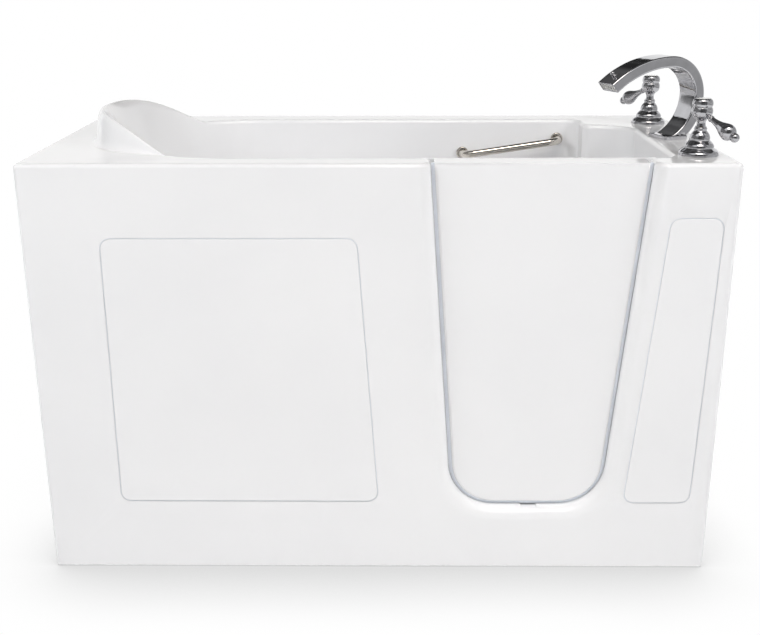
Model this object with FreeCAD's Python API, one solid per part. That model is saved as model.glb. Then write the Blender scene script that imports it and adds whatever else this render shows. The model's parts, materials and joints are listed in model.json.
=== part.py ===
import FreeCAD, Part
import math
import os

V = FreeCAD.Vector

# Walk-in soaking bathtub. Millimetres, +Z up, the door faces -Y, the taps stand at the +X end.
# The origin is on the floor under the middle of the footprint.

# Overall size of the tub
LENGTH = 1524.0
WIDTH = 762.0
RIM = 952.0

# Moulded shell: deck, apron and basin
SHELL = 8.0
EDGE_R = 10.0
CORNER_R = 10.0
DECK_LIP = 50.0
APRON_CLEAR = 4.0
APRON_RETURN = 41.0
SEAM_DROP = 16.0
FRONT_DECK = 76.0
BACK_DECK = 87.0
TAP_DECK = 126.0
HEAD_DECK = 150.0
STEP_FROM_END = 240.0
STEP_DEPTH = 108.0
STEP_R = 20.0
BACK_CORNER_R = 36.0
TAP_CORNER_R = 90.0
FRONT_CORNER_R = 38.0
HEAD_FLAT = 7.0
HEAD_LAP = 200.0
BACKREST_LEAN = 20.0
FLOOR_Z = 96.0
FLOOR_T = 10.0
SEAT_RISE = 434.0
SEAT_SETBACK = 36.0
NOSE_R = 30.0
COVE_R = 34.0
HEADREST_RISE = 74.0
HEADREST_INSET = 17.1789
HEADREST_ROOT = 16.0
HEADREST_SKIRT = 14.0
HEADREST_FLANK = 8.0
HEADREST_LAP = 30.0
HEADREST_BOND = 1.2

# Doorway and door
DOOR_FROM_END = 188.0
DOOR_TOP_W = 454.0
DOOR_LEFT_LEAN = 4.1
DOOR_RIGHT_LEAN = 4.9
DOOR_Z = 160.0
DOOR_CORNER_R = 98.0
DOOR_GAP = 8.0
DOOR_RECESS = 23.0
DOOR_DROP = 3.0
DOOR_SKIN = 5.0
DOOR_EDGE_R = 7.0
BOARD_W = 60.0
ROLL_R = 28.0
THROAT_R = 5.0
LEAF_LAP = 25.0
LEAF_T = 18.0
SEAL_T = 6.0
SEAL_W = 9.0
SEAL_INSET = 3.0
SEAL_AIR = 0.4
WEEP_W = 42.0
WEEP_DEEP = 4.0
WEEP_OFF_CENTRE = 8.0

# Door hinges
HINGE_HEIGHTS = (300.0, 820.0)
PIN_R = 5.0
KNUCKLE_R = 9.0
KNUCKLE_H = 34.0
LUG_H = 10.0
HINGE_AIR = 0.4
HINGE_BEYOND = 9.0
HINGE_PROUD = 11.0
HINGE_PLATE_T = 4.0
HINGE_PLATE_L = 66.0
HINGE_PLATE_BACK = 26.0
HINGE_WEB_LAP = 12.0
BRACKET_T = 6.0
BRACKET_W = 52.0
BRACKET_BAR = 10.0
PIN_END = 4.0
PIN_HEAD_LIP = 2.5

# Door latch
LATCH_BELOW_RIM = 212.0
LATCH_INSET = 52.0
LATCH_REACH = 78.0
TONGUE_T = 8.0
TONGUE_W = 16.0
LEVER_L = 112.0
LEVER_HUB_R = 14.0
LEVER_HUB_H = 16.0
PIVOT_R = 5.0
LATCH_PLATE_R = 24.0
LATCH_PLATE_T = 3.0
KEEPER_AIR = 2.0
KEEPER_T = 8.0
KEEPER_H = 36.0

# Access panels in the apron
PANEL_T = 5.0
PANEL_GAP = 2.0
PANEL_LEDGE = 16.0
LEDGE_T = 6.0
LEFT_PANEL_INSET = 170.0
LEFT_PANEL_TO_DOOR = 176.0
LEFT_PANEL_TOP = 160.0
LEFT_PANEL_LOW = 173.0
RIGHT_PANEL_INSET = 30.0
RIGHT_PANEL_LEAN = 1.5
RIGHT_PANEL_TO_DOOR = 57.0
RIGHT_PANEL_TOP = 117.0
RIGHT_PANEL_LOW = 170.0
PANEL_R = 22.0
STUD_R = 4.0
STUD_AIR = 0.3

# Grab bar on the back wall
BAR_R = 9.5
BAR_OFF = 44.0
BAR_BEND = 28.0
BAR_SPAN = 253.0
BAR_SLOPE = 8.4
BAR_BELOW_RIM = 87.0
BAR_FLANGE_R = 16.0
BAR_FLANGE_T = 6.0

# Taps on the deck at the +X end
TAP_LINE = 67.0
HOT_FROM_BACK = 151.0
COLD_FROM_FRONT = 115.0
SPOUT_OFF_CENTRE = -4.0
SPOUT_TURN = 22.0
SPOUT_LEAD = 11.0
LEVER_DROOP = 25.0
COLD_LEVER_YAW = -58.0
VALVE_SHANK_R = 15.0
VALVE_R = 18.0
VALVE_DROP = 78.0
INLET_R = 10.4
INLET_L = 22.0
SPINDLE_R = 5.0
SPOUT_SHANK_R = 12.5
HOLE_AIR = 1.0
TUBE_R = 7.5
TUBE_DROP = 58.0
NUT_T = 9.0
VALVE_NUT = 46.0
SPOUT_NUT = 38.0
TEE_HALF = 26.0
VALVE_RISE = 38.0
NUT_CLEAR = 3.0
SPINDLE_SEAT = 21.0
SPINDLE_TOP = 111.5
INLET_DEEP = 8.0
PORT_L = 12.0
BOSS_WALL = 3.0
TUBE_SEAT = 1.0
COPPER_T = 1.0
WATERWAY_R = 7.0
TEE_WALL = 4.0
TEE_LOW = 14.0
TEE_HIGH = 30.0
TEE_SEAT = 10.0
TEE_PORT = 13.0
TEE_BORE_R = 6.0
SHANK_RISE = 8.0
SHANK_AIR = 0.5
SHANK_TOP_AIR = 0.2
DIVERTER_LIFT = 10.0
KNOB_R = 5.2
KNOB_RISE = 6.4
KNOB_COLLAR_R = 4.2
KNOB_COLLAR_LOW = 0.8
KNOB_COLLAR_HIGH = 2.4
KNOB_STEM_R = 2.6
KNOB_HOLE_AIR = 0.4

# Curved spout: three arcs end to end, with a flat band for its section
SPOUT_FOOT_R = 110.0
SPOUT_BACK_R = 81.0
SPOUT_TOP_R = 236.0
SPOUT_HEIGHT = 97.0
SPOUT_SWEEP = 39.5
SPOUT_WIDE = 64.0
SPOUT_THICK = 25.0
SPOUT_EDGE_R = 4.0
SPOUT_PLATE_H = 9.0
SPOUT_PLATE_L = 62.0
SPOUT_PLATE_OVER = 3.0
OUTLET_RIM = 4.0
OUTLET_DEEP = 3.0
PLATE_EDGE_R = 2.0
MOUTH_R = 3.0
SCREEN_R = 2.8
SCREEN_SINK = 0.6
JET_R = 1.6
KNOB_AT = 0.94

# Waste and overflow
DRAIN_FROM_END = 96.0
DRAIN_BORE_R = 19.0
BARREL_R = 22.0
FLANGE_R = 36.0
PIPE_R = 19.05
PIPE_T = 1.5
SOCKET_T = 3.5
TEE_FROM_WALL = 62.0
WASTE_Z = 58.0
OVERFLOW_BELOW_RIM = 132.0
OVERFLOW_R = 38.0
OVERFLOW_HOLE_R = 26.0
GASKET_T = 3.0

# Steel frame and levelling feet
TUBE = 40.0
TUBE_WALL = 2.5
FRAME_SIDE = 36.0
FRAME_END = 20.0
SEAT_POST_FRONT = 60.0
FOOT_FROM_END = 90.0
SEAT_CROSS_BACK = 20.0
SEAT_POST_REAR = 330.0
FOOT_R = 25.0
FOOT_H = 12.0
STUD_FOOT_R = 6.0
FOOT_NUT = 19.0
FOOT_NUT_T = 8.0
FIT_AIR = 0.3

# Places that follow from the sizes above
X0 = -LENGTH / 2
X1 = LENGTH / 2
Y0 = -WIDTH / 2
Y1 = WIDTH / 2
TOP = RIM + 160.0
IN_FRONT = Y0 + FRONT_DECK
IN_BACK = Y1 - BACK_DECK
IN_TAP = X1 - TAP_DECK
IN_HEAD = X0 + HEAD_DECK
HEAD_R = (IN_BACK - IN_FRONT - HEAD_FLAT) / 2
STEP_X = X1 - STEP_FROM_END
STEP_Y = IN_BACK - STEP_DEPTH
DOOR_R = X1 - DOOR_FROM_END
DOOR_L = DOOR_R - DOOR_TOP_W
SEAT_Z = FLOOR_Z + SEAT_RISE
SEAT_FRONT = DOOR_L - SEAT_SETBACK
FLOOR_UNDER = FLOOR_Z - FLOOR_T
DECK_UNDER = RIM - SHELL
DOOR_FACE = Y0 + DOOR_RECESS
LEAF_OUT = IN_FRONT + SEAL_T
LEAF_IN = LEAF_OUT + LEAF_T
DOOR_TOP = RIM - DOOR_DROP
TAP_X = X1 - TAP_LINE
HOT_Y = Y1 - HOT_FROM_BACK
COLD_Y = Y0 + COLD_FROM_FRONT
SPOUT_Y = (HOT_Y + COLD_Y) / 2 + SPOUT_OFF_CENTRE


def tan(degrees):
    return math.tan(math.radians(degrees))


def cos(degrees):
    return math.cos(math.radians(degrees))


def sin(degrees):
    return math.sin(math.radians(degrees))


def box(xa, xb, ya, yb, za, zb):
    return Part.makeBox(xb - xa, yb - ya, zb - za, V(xa, ya, za))


def rod(radius, start, end):
    line = end - start
    return Part.makeCylinder(radius, line.Length, start, line)


def tube(radius, wall, start, end):
    return rod(radius, start, end).cut(rod(radius - wall, start, end))


def ring(outer, inner, start, end):
    return rod(outer, start, end).cut(rod(inner, start, end))


def joined(first, *others):
    return first.fuse(list(others)).removeSplitter()


def group(solids):
    return Part.makeCompound(solids)


def hexagon(across, bore, z_low, z_high, x, y):
    corner = across / 2 / cos(30)
    points = [V(x + corner * cos(60 * i), y + corner * sin(60 * i), z_low) for i in range(7)]
    body = Part.Face(Part.makePolygon(points)).extrude(V(0, 0, z_high - z_low))
    return body.cut(rod(bore, V(x, y, z_low - 1), V(x, y, z_high + 1)))


def on_plan(z):
    return lambda a, b: V(a, b, z)


def on_front(y):
    return lambda a, b: V(a, y, b)


def rounded_wire(corners, radii, place):
    # A closed outline through flat corners, each rounded by its own radius
    count = len(corners)
    marks = []
    for i in range(count):
        corner = V(corners[i][0], corners[i][1], 0)
        before = V(corners[i - 1][0], corners[i - 1][1], 0) - corner
        after = V(corners[(i + 1) % count][0], corners[(i + 1) % count][1], 0) - corner
        if radii[i] <= 0:
            marks.append((corner, None, corner))
            continue
        half = before.getAngle(after) / 2
        before.normalize()
        after.normalize()
        run = radii[i] / math.tan(half)
        middle = before + after
        middle.normalize()
        centre = corner + middle * (radii[i] / math.sin(half))
        marks.append((corner + before * run, centre - middle * radii[i], corner + after * run))
    edges = []
    for i in range(count):
        start = marks[i - 1][2]
        end = marks[i][0]
        if (start - end).Length > 0.0001:
            edges.append(Part.makeLine(place(start.x, start.y), place(end.x, end.y)))
        if marks[i][1] is not None:
            three = [place(p.x, p.y) for p in marks[i]]
            edges.append(Part.Arc(three[0], three[1], three[2]).toShape())
    return Part.Wire(edges)


def prism(corners, radii, z_low, z_high, shift=0.0):
    face = Part.Face(rounded_wire(corners, radii, on_plan(z_low)))
    return face.extrude(V(shift, 0, z_high - z_low))


def slab(corners, radii, y_low, y_high):
    face = Part.Face(rounded_wire(corners, radii, on_front(y_low)))
    return face.extrude(V(0, y_high - y_low, 0))


def turned(runs, base, axis):
    # A solid of revolution about +Z: each run is a line, or a smooth curve through its points
    edges = []
    for points in runs:
        spots = [V(r, 0, z) for r, z in points]
        if len(spots) == 2:
            edges.append(Part.makeLine(spots[0], spots[1]))
        else:
            curve = Part.BSplineCurve()
            curve.interpolate(spots)
            edges.append(curve.toShape())
    first = runs[0][0]
    last = runs[-1][-1]
    if (first[0] - last[0]) ** 2 + (first[1] - last[1]) ** 2 > 0.000001:
        edges.append(Part.makeLine(V(last[0], 0, last[1]), V(first[0], 0, first[1])))
    body = Part.Face(Part.Wire(edges)).revolve(V(0, 0, 0), V(0, 0, 1), 360)
    body.Placement = FreeCAD.Placement(base, FreeCAD.Rotation(V(0, 0, 1), axis))
    return body


def sharp_edges(shape, test):
    # Edges where two faces meet at an angle, kept when the test likes their bounds
    found = []
    for edge in shape.Edges:
        faces = shape.ancestorsOfType(edge, Part.Face)
        if len(faces) != 2 or not test(edge.BoundBox):
            continue
        spot = edge.valueAt((edge.FirstParameter + edge.LastParameter) / 2)
        normals = []
        for face in faces:
            u, v = face.Surface.parameter(spot)
            normals.append(face.normalAt(u, v))
        if normals[0].getAngle(normals[1]) > math.radians(8):
            found.append(edge)
    return found


def edges_on(shape, wire):
    # Edges of a solid that run along a drawn outline
    found = []
    for edge in shape.Edges:
        first = edge.FirstParameter
        span = edge.LastParameter - first
        spots = [edge.valueAt(first + span * part) for part in (0.1, 0.5, 0.9)]
        if all(Part.Vertex(s).distToShape(wire)[0] < 0.01 for s in spots):
            found.append(edge)
    return found


def flat_edges(shape, z):
    return [e for e in shape.Edges if e.BoundBox.ZMin > z - 0.01 and e.BoundBox.ZMax < z + 0.01]


def door_left(z, gap):
    return DOOR_L + (RIM - z) * tan(DOOR_LEFT_LEAN) - gap / cos(DOOR_LEFT_LEAN)


def door_right(z, gap):
    return DOOR_R - (RIM - z) * tan(DOOR_RIGHT_LEAN) + gap / cos(DOOR_RIGHT_LEAN)


def door_corners(gap, top):
    low = DOOR_Z - gap
    return [
        (door_left(top, gap), top),
        (door_left(low, gap), low),
        (door_right(low, gap), low),
        (door_right(top, gap), top),
    ]


def door_slab(gap, top, y_low, y_high):
    radii = [0, DOOR_CORNER_R + gap, DOOR_CORNER_R + gap, 0]
    return slab(door_corners(gap, top), radii, y_low, y_high)


def door_wire(gap, top, y):
    radii = [0, DOOR_CORNER_R + gap, DOOR_CORNER_R + gap, 0]
    return rounded_wire(door_corners(gap, top), radii, on_front(y))


def basin(out, z_floor):
    # The water space, or with a thickness outside it the back of the moulding
    yf = IN_FRONT - out
    yb = IN_BACK + out
    zs = SEAT_Z - out
    xf = SEAT_FRONT - out
    lean = tan(BACKREST_LEAN)
    xl = IN_HEAD + (RIM - zs) * lean - out / cos(BACKREST_LEAN)
    corners = [(xl, yf), (xf + HEAD_LAP, yf), (xf + HEAD_LAP, yb), (xl, yb)]
    head = prism(corners, [HEAD_R + out, 0, 0, HEAD_R + out], zs, TOP, -(TOP - zs) * lean)
    corners = [
        (xf, yf),
        (IN_TAP + out, yf),
        (IN_TAP + out, STEP_Y + out),
        (STEP_X + out, STEP_Y + out),
        (STEP_X + out, yb),
        (xf, yb),
    ]
    radii = [0, FRONT_CORNER_R + out, TAP_CORNER_R + out, STEP_R - out, BACK_CORNER_R + out, 0]
    body = head.fuse(prism(corners, radii, z_floor, TOP)).removeSplitter()

    def is_nose(b):
        return abs(b.ZMin - zs) < 0.1 and abs(b.XMax - xf) < 0.1 and b.XLength < 0.1

    body = body.makeFillet(NOSE_R - out, sharp_edges(body, is_nose))
    cove = sharp_edges(body, lambda b: b.ZMax < SEAT_Z + 1)
    return body.makeFillet(COVE_R + out, cove)


def headrest(water):
    # Raised collar round the head end: sections set out along the curved wall
    lean = tan(BACKREST_LEAN)
    centre_x = IN_HEAD + HEAD_R
    centre_y = (IN_FRONT + IN_BACK) / 2
    half = (IN_BACK - IN_FRONT) / 2
    begins = math.degrees(math.acos(1 - HEADREST_INSET / half))
    steps = 16
    wires = []
    for i in range(steps + 1):
        angle = begins + (180 - 2 * begins) * i / steps
        wall = V(centre_x - HEAD_R * sin(angle), centre_y - half * cos(angle), RIM)
        away = V(-sin(angle), -cos(angle), 0)
        share = (centre_x - 0.334 * HEAD_R - wall.x) / (0.65 * HEAD_R)
        share = min(max(share, 0.0), 1.0)
        high = -HEADREST_ROOT + (HEADREST_RISE + HEADREST_ROOT) * share * share * (3 - 2 * share)
        lift = max(high, 0.0)
        slope = lean * sin(angle)
        foot = slope * lift + EDGE_R + 1 + 0.30 * lift
        low = -HEADREST_ROOT - SHELL
        skirt = foot + HEADREST_SKIRT
        roll = EDGE_R + 0.65 * lift
        start = high - roll
        side = (foot - HEADREST_FLANK, 0.45 * high)
        peak = (high - (start + side[1]) / 8) / 0.75
        inner = peak - roll / 4
        outer = peak + roll / 4
        drop = max(0.75 * side[1], 1.0)

        def spot(u, z):
            return wall + away * u + V(0, 0, z)

        # The collar leaves the leaning wall, rolls over its crest and falls to the side
        crest = Part.BezierCurve()
        crest.setPoles([
            spot(slope * start - HEADREST_BOND, start),
            spot(slope * inner - HEADREST_BOND, inner),
            spot(side[0] - 0.12 * (outer - side[1]), outer),
            spot(side[0], side[1]),
        ])
        # The side runs out flat on the deck
        flank = Part.BezierCurve()
        flank.setPoles([
            spot(side[0], side[1]),
            spot(side[0] + 0.12 * drop, side[1] - drop),
            spot(foot - 2, -0.5),
            spot(skirt, -HEADREST_BOND),
        ])
        wires.append(Part.Wire([
            crest.toShape(),
            flank.toShape(),
            Part.makeLine(spot(skirt, -HEADREST_BOND), spot(skirt, low)),
            Part.makeLine(spot(skirt, low), spot(-HEADREST_LAP, low)),
            Part.makeLine(spot(-HEADREST_LAP, low), spot(-HEADREST_LAP, start)),
            Part.makeLine(spot(-HEADREST_LAP, start), spot(slope * start - HEADREST_BOND, start)),
        ]))
    return Part.makeLoft(wires, True, False).cut(water)


def moulding():
    # Deck, apron, doorway and basin as one wall of laminate with all its rounded edges
    water = basin(0, FLOOR_Z)
    block = box(X0, X1, Y0, Y1, APRON_CLEAR, RIM)
    block = block.makeFillet(CORNER_R, [e for e in block.Edges if e.BoundBox.ZLength > 100])
    inside = box(X0 + SHELL, X1 - SHELL, Y0 + SHELL, Y1 - SHELL, -10, DECK_UNDER)
    upright = [e for e in inside.Edges if e.BoundBox.ZLength > 100]
    inside = inside.makeFillet(CORNER_R - SHELL, upright)
    skin = block.cut(inside)
    skin = skin.cut(box(X0 - 10, X1 + 10, Y0 + APRON_RETURN, Y1 + 10, -10, RIM - DECK_LIP))
    above = box(X0 - 200, X1 + 200, Y0 - 100, Y1 + 100, RIM, TOP + 50)
    bowl = basin(SHELL, FLOOR_UNDER).cut(above)
    throat = door_slab(DOOR_GAP + SHELL, RIM, Y0 + SHELL / 2, IN_FRONT - SHELL / 2)
    rim_of_door = door_slab(DOOR_GAP + ROLL_R + SHELL, RIM, Y0, Y0 + ROLL_R + SHELL)
    body = skin.fuse([bowl, throat, rim_of_door])
    body = body.cut([water, door_slab(DOOR_GAP, TOP, Y0 - 50, IN_FRONT + 20)]).removeSplitter()
    body = body.makeFillet(ROLL_R, edges_on(body, door_wire(DOOR_GAP, TOP, Y0)))
    body = body.makeFillet(THROAT_R, edges_on(body, door_wire(DOOR_GAP, TOP, IN_FRONT)))
    body = body.makeFillet(EDGE_R, flat_edges(body, RIM))
    body = body.fuse(headrest(water)).removeSplitter()
    middle = (door_left(DOOR_Z, 0) + door_right(DOOR_Z, 0)) / 2 + WEEP_OFF_CENTRE
    sill = DOOR_Z - DOOR_GAP
    weep = [
        (middle - WEEP_W / 2, sill + 2),
        (middle - WEEP_W / 2 + WEEP_DEEP, sill - WEEP_DEEP),
        (middle + WEEP_W / 2 - WEEP_DEEP, sill - WEEP_DEEP),
        (middle + WEEP_W / 2, sill + 2),
    ]
    return body.cut(slab(weep, [0, 1.5, 1.5, 0], Y0 - 10, DOOR_FACE + 24))


def left_panel_corners(grow):
    lean = DOOR_LEFT_LEAN
    top = RIM - LEFT_PANEL_TOP + grow
    low = LEFT_PANEL_LOW - grow
    left = X0 + LEFT_PANEL_INSET - grow
    off = LEFT_PANEL_TO_DOOR - grow / cos(lean)
    return [
        (left, top),
        (left, low),
        (door_left(low, 0) - off, low),
        (door_left(top, 0) - off, top),
    ]


def right_panel_corners(grow):
    top = RIM - RIGHT_PANEL_TOP + grow
    low = RIGHT_PANEL_LOW - grow
    off = RIGHT_PANEL_TO_DOOR - grow / cos(DOOR_RIGHT_LEAN)

    def right(z):
        drop = RIM - RIGHT_PANEL_TOP - z
        return X1 - RIGHT_PANEL_INSET - drop * tan(RIGHT_PANEL_LEAN) + grow

    return [
        (door_right(top, 0) + off, top),
        (door_right(low, 0) + off, low),
        (right(low), low),
        (right(top), top),
    ]


def panel_slab(corners_of, grow, y_low, y_high):
    radius = PANEL_R + grow
    return slab(corners_of(grow), [radius] * 4, y_low, y_high)


def stud_spots(corners_of):
    # Push-in studs sit on the ledge, one near each corner and one half way up each long side
    corners = corners_of(-PANEL_LEDGE / 2)
    spots = []
    for i in range(4):
        a = corners[i]
        b = corners[(i + 1) % 4]
        if abs(a[1] - b[1]) > 1:
            for part in (0.12, 0.5, 0.88):
                spots.append((a[0] + (b[0] - a[0]) * part, a[1] + (b[1] - a[1]) * part))
    return spots


PANELS = (left_panel_corners, right_panel_corners)


def tap_spot(y):
    return V(TAP_X, y, RIM)


def split_shell(body):
    # The apron is its own moulding, bonded under the front lip of the deck and behind the doorway
    below = box(X0 - 10, X1 + 10, Y0 - 10, IN_FRONT - SHELL, -10, RIM - SEAM_DROP)
    apron = body.common(below)
    deck = body.cut(below)
    back = Y0 + SHELL + LEDGE_T
    for corners_of in PANELS:
        pad = panel_slab(corners_of, PANEL_LEDGE, Y0 + SHELL / 2, back)
        pad = pad.common(box(X0, X1 - SHELL / 2, Y0, Y1, 0, RIM))
        apron = apron.fuse(pad)
        apron = apron.cut(panel_slab(corners_of, PANEL_GAP, Y0 - 5, Y0 + PANEL_T))
        apron = apron.cut(panel_slab(corners_of, -PANEL_LEDGE, Y0, back + 5))
        for x, z in stud_spots(corners_of):
            apron = apron.cut(rod(STUD_R + STUD_AIR, V(x, Y0, z), V(x, back + 5, z)))
    apron = apron.removeSplitter()
    for y in (HOT_Y, COLD_Y):
        spot = tap_spot(y)
        hole = rod(VALVE_SHANK_R + HOLE_AIR, spot - V(0, 0, 20), spot + V(0, 0, 5))
        deck = deck.cut(hole)
    spot = tap_spot(SPOUT_Y)
    deck = deck.cut(rod(SPOUT_SHANK_R + HOLE_AIR, spot - V(0, 0, 20), spot + V(0, 0, 5)))
    drain = drain_spot()
    deck = deck.cut(rod(BARREL_R + HOLE_AIR, drain - V(0, 0, 30), drain + V(0, 0, 5)))
    over = overflow_spot()
    deck = deck.cut(rod(OVERFLOW_HOLE_R, over - V(5, 0, 0), over + V(30, 0, 0)))
    return deck, apron


def drain_spot():
    return V(IN_TAP - DRAIN_FROM_END, SPOUT_Y, FLOOR_Z)


def overflow_spot():
    return V(IN_TAP, SPOUT_Y, RIM - OVERFLOW_BELOW_RIM)


def access_panels(parts):
    names = ("left_access_panel", "right_access_panel")
    studs = []
    for name, corners_of in zip(names, PANELS):
        panel = panel_slab(corners_of, 0, Y0, Y0 + PANEL_T)
        front = rounded_wire(corners_of(0), [PANEL_R] * 4, on_front(Y0))
        parts[name] = panel.makeFillet(1.2, edges_on(panel, front))
        for x, z in stud_spots(corners_of):
            back = Y0 + SHELL + LEDGE_T
            shaft = rod(STUD_R, V(x, Y0 + PANEL_T, z), V(x, back + 4, z))
            barb = Part.makeCone(STUD_R + 1.6, STUD_R - 1, 5, V(x, back + 1, z), V(0, 1, 0))
            studs.append(joined(shaft, barb))
    parts["panel_studs"] = group(studs)


def door_parts(parts):
    plug = door_slab(0, DOOR_TOP, DOOR_FACE, LEAF_OUT)
    plug = plug.makeFillet(DOOR_EDGE_R, edges_on(plug, door_wire(0, DOOR_TOP, DOOR_FACE)))
    hollow = door_slab(-DOOR_SKIN, DOOR_TOP - DOOR_SKIN, DOOR_FACE + DOOR_SKIN, LEAF_OUT + 1)
    parts["door_outer_skin"] = plug.cut(hollow)
    core_gap = -DOOR_SKIN - FIT_AIR
    front = DOOR_FACE + DOOR_SKIN + FIT_AIR
    core = door_slab(core_gap, DOOR_TOP + core_gap, front, LEAF_OUT - FIT_AIR)
    core = core.cut(door_slab(core_gap - BOARD_W, TOP, Y0, IN_FRONT + 50))
    low = DOOR_Z + DOOR_CORNER_R + 20
    boards = core.common(box(X0, X1, Y0, Y1, low, DOOR_TOP - 40))
    parts["door_backing_boards"] = group(boards.Solids)
    leaf = door_slab(LEAF_LAP, DOOR_TOP, LEAF_OUT, LEAF_IN)
    leaf = leaf.makeFillet(DOOR_EDGE_R, edges_on(leaf, door_wire(LEAF_LAP, DOOR_TOP, LEAF_IN)))
    hub = latch_spot()
    leaf = leaf.cut(rod(PIVOT_R, hub - V(0, 10, 0), hub + V(0, 5, 0)))
    parts["door_inner_leaf"] = leaf
    near = DOOR_GAP + THROAT_R + SEAL_INSET
    face = IN_FRONT + SEAL_AIR
    seal = door_slab(near + SEAL_W, DOOR_TOP - DOOR_EDGE_R, face, LEAF_OUT)
    seal = seal.cut(door_slab(near, TOP, face - 5, LEAF_OUT + 5))
    front = edges_on(seal, door_wire(near + SEAL_W, DOOR_TOP - DOOR_EDGE_R, face))
    front += edges_on(seal, door_wire(near, TOP, face))
    along = [e for e in front if e.BoundBox.ZMin < DOOR_TOP - DOOR_EDGE_R - 1]
    parts["door_seal"] = seal.makeFillet(SEAL_W * 0.4, along)


def hinge_axis(z):
    return V(door_right(RIM, LEAF_LAP) + HINGE_BEYOND, LEAF_IN + HINGE_PROUD, z)


def hinge_parts(parts):
    arms = []
    brackets = []
    pins = []
    for z in HINGE_HEIGHTS:
        low = z - KNUCKLE_H / 2
        high = z + KNUCKLE_H / 2
        axis = hinge_axis(z)
        edge = door_right(z + KNUCKLE_H, LEAF_LAP) - DOOR_EDGE_R - HINGE_PLATE_BACK
        bottom = hinge_axis(low)
        top = hinge_axis(high)
        plate = box(edge - HINGE_PLATE_L, edge, LEAF_IN, LEAF_IN + HINGE_PLATE_T, low, high)
        web = box(edge - HINGE_WEB_LAP, axis.x, LEAF_IN, axis.y - 1, low, high)
        arm = joined(plate, web, rod(KNUCKLE_R, bottom, top))
        bore = rod(PIN_R + HINGE_AIR / 2, bottom - V(0, 0, 1), top + V(0, 0, 1))
        arms.append(arm.cut(bore).removeSplitter())
        base_y = IN_FRONT + FRONT_CORNER_R
        lug_low = low - HINGE_AIR - LUG_H
        lug_high = high + HINGE_AIR + LUG_H
        base = box(IN_TAP - BRACKET_T, IN_TAP, base_y, base_y + BRACKET_W, lug_low, lug_high)
        root = IN_TAP - BRACKET_T / 2
        bracket = base
        for a, b in ((lug_low, low - HINGE_AIR), (high + HINGE_AIR, lug_high)):
            lug = rod(KNUCKLE_R, hinge_axis(a), hinge_axis(b))
            bar = [
                (axis.x - KNUCKLE_R, axis.y),
                (axis.x + KNUCKLE_R, axis.y),
                (root, base_y + BRACKET_BAR),
                (root, base_y + BRACKET_W - BRACKET_T),
            ]
            bracket = bracket.fuse([lug, prism(bar, [0] * 4, a, b)])
        pin_low = hinge_axis(lug_low - PIN_END)
        pin_high = hinge_axis(lug_high + PIN_END)
        hole = rod(PIN_R + FIT_AIR / 2, pin_low, pin_high)
        brackets.append(bracket.cut(hole).removeSplitter())
        head = rod(PIN_R + PIN_HEAD_LIP, hinge_axis(lug_high), pin_high)
        pins.append(joined(rod(PIN_R, pin_low, pin_high), head))
    parts["hinge_arms"] = group(arms)
    parts["hinge_brackets"] = group(brackets)
    parts["hinge_pins"] = group(pins)


def latch_spot():
    z = RIM - LATCH_BELOW_RIM
    return V(door_left(z, LEAF_LAP) + LATCH_INSET, LEAF_IN, z)


def latch_parts(parts):
    hub = latch_spot()
    inward = V(0, 1, 0)
    tongue_y = LATCH_PLATE_T + FIT_AIR
    lever_y = tongue_y + TONGUE_T
    head_y = lever_y + LEVER_HUB_H + FIT_AIR
    plate = rod(LATCH_PLATE_R, hub, hub + inward * LATCH_PLATE_T)
    plate = plate.makeFillet(1.5, [plate.Edges[0]])
    bolt = rod(PIVOT_R, hub - inward * 9, hub + inward * (head_y + 1))
    head = rod(PIVOT_R + 5, hub + inward * head_y, hub + inward * (head_y + 5))
    head = head.makeFillet(3, [head.Edges[0]])
    parts["latch_plate"] = plate.cut(rod(PIVOT_R + FIT_AIR, hub - inward, hub + inward * 9))
    parts["latch_pivot"] = joined(bolt, head)
    bore = rod(PIVOT_R + FIT_AIR, hub - inward, hub + inward * 60)
    half = TONGUE_W / 2
    ya = hub.y + tongue_y
    yb = hub.y + lever_y
    reach = LATCH_REACH
    outline = [
        (hub.x - half, hub.z),
        (hub.x + half, hub.z),
        (hub.x + half, hub.z + reach),
        (hub.x - half, hub.z + reach),
    ]
    tongue = slab(outline, [0, 0, half - 1, half - 1], ya, yb)
    tongue = joined(tongue, rod(LEVER_HUB_R, V(hub.x, ya, hub.z), V(hub.x, yb, hub.z)))
    parts["latch_tongue"] = tongue.cut(bore)
    yc = yb + LEVER_HUB_H
    barrel = rod(LEVER_HUB_R, V(hub.x, yb, hub.z), V(hub.x, yc, hub.z))
    grip = Part.makeLoft([
        rounded_wire(
            [(hub.x - w, ym - t), (hub.x + w, ym - t), (hub.x + w, ym + t), (hub.x - w, ym + t)],
            [t * 0.9] * 4,
            on_plan(hub.z - down),
        )
        for down, w, t, ym in (
            (4, 9, 6, yb + 8),
            (30, 8, 5.5, yb + 10),
            (70, 9.5, 5.5, yb + 16),
            (LEVER_L, 11, 5, yb + 19),
        )
    ], True, False)
    grip = grip.makeFillet(2.0, flat_edges(grip, hub.z - LEVER_L))
    parts["latch_lever"] = joined(barrel, grip).cut(bore)
    lip = yb + KEEPER_AIR
    tip_x = hub.x - LATCH_REACH
    post = tip_x - KEEPER_AIR - 4
    inner_end = door_left(hub.z + KEEPER_H, LEAF_LAP) - 9
    za = hub.z - KEEPER_H / 2
    zb = hub.z + KEEPER_H / 2
    foot = box(post - KEEPER_T - 24, post, IN_FRONT, IN_FRONT + 4, za, zb)
    wall = box(post - KEEPER_T, post, IN_FRONT, lip + KEEPER_T, za, zb)
    hook = box(post - KEEPER_T, inner_end, lip, lip + KEEPER_T, za, zb)
    parts["latch_keeper"] = joined(foot, wall, hook)


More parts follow.
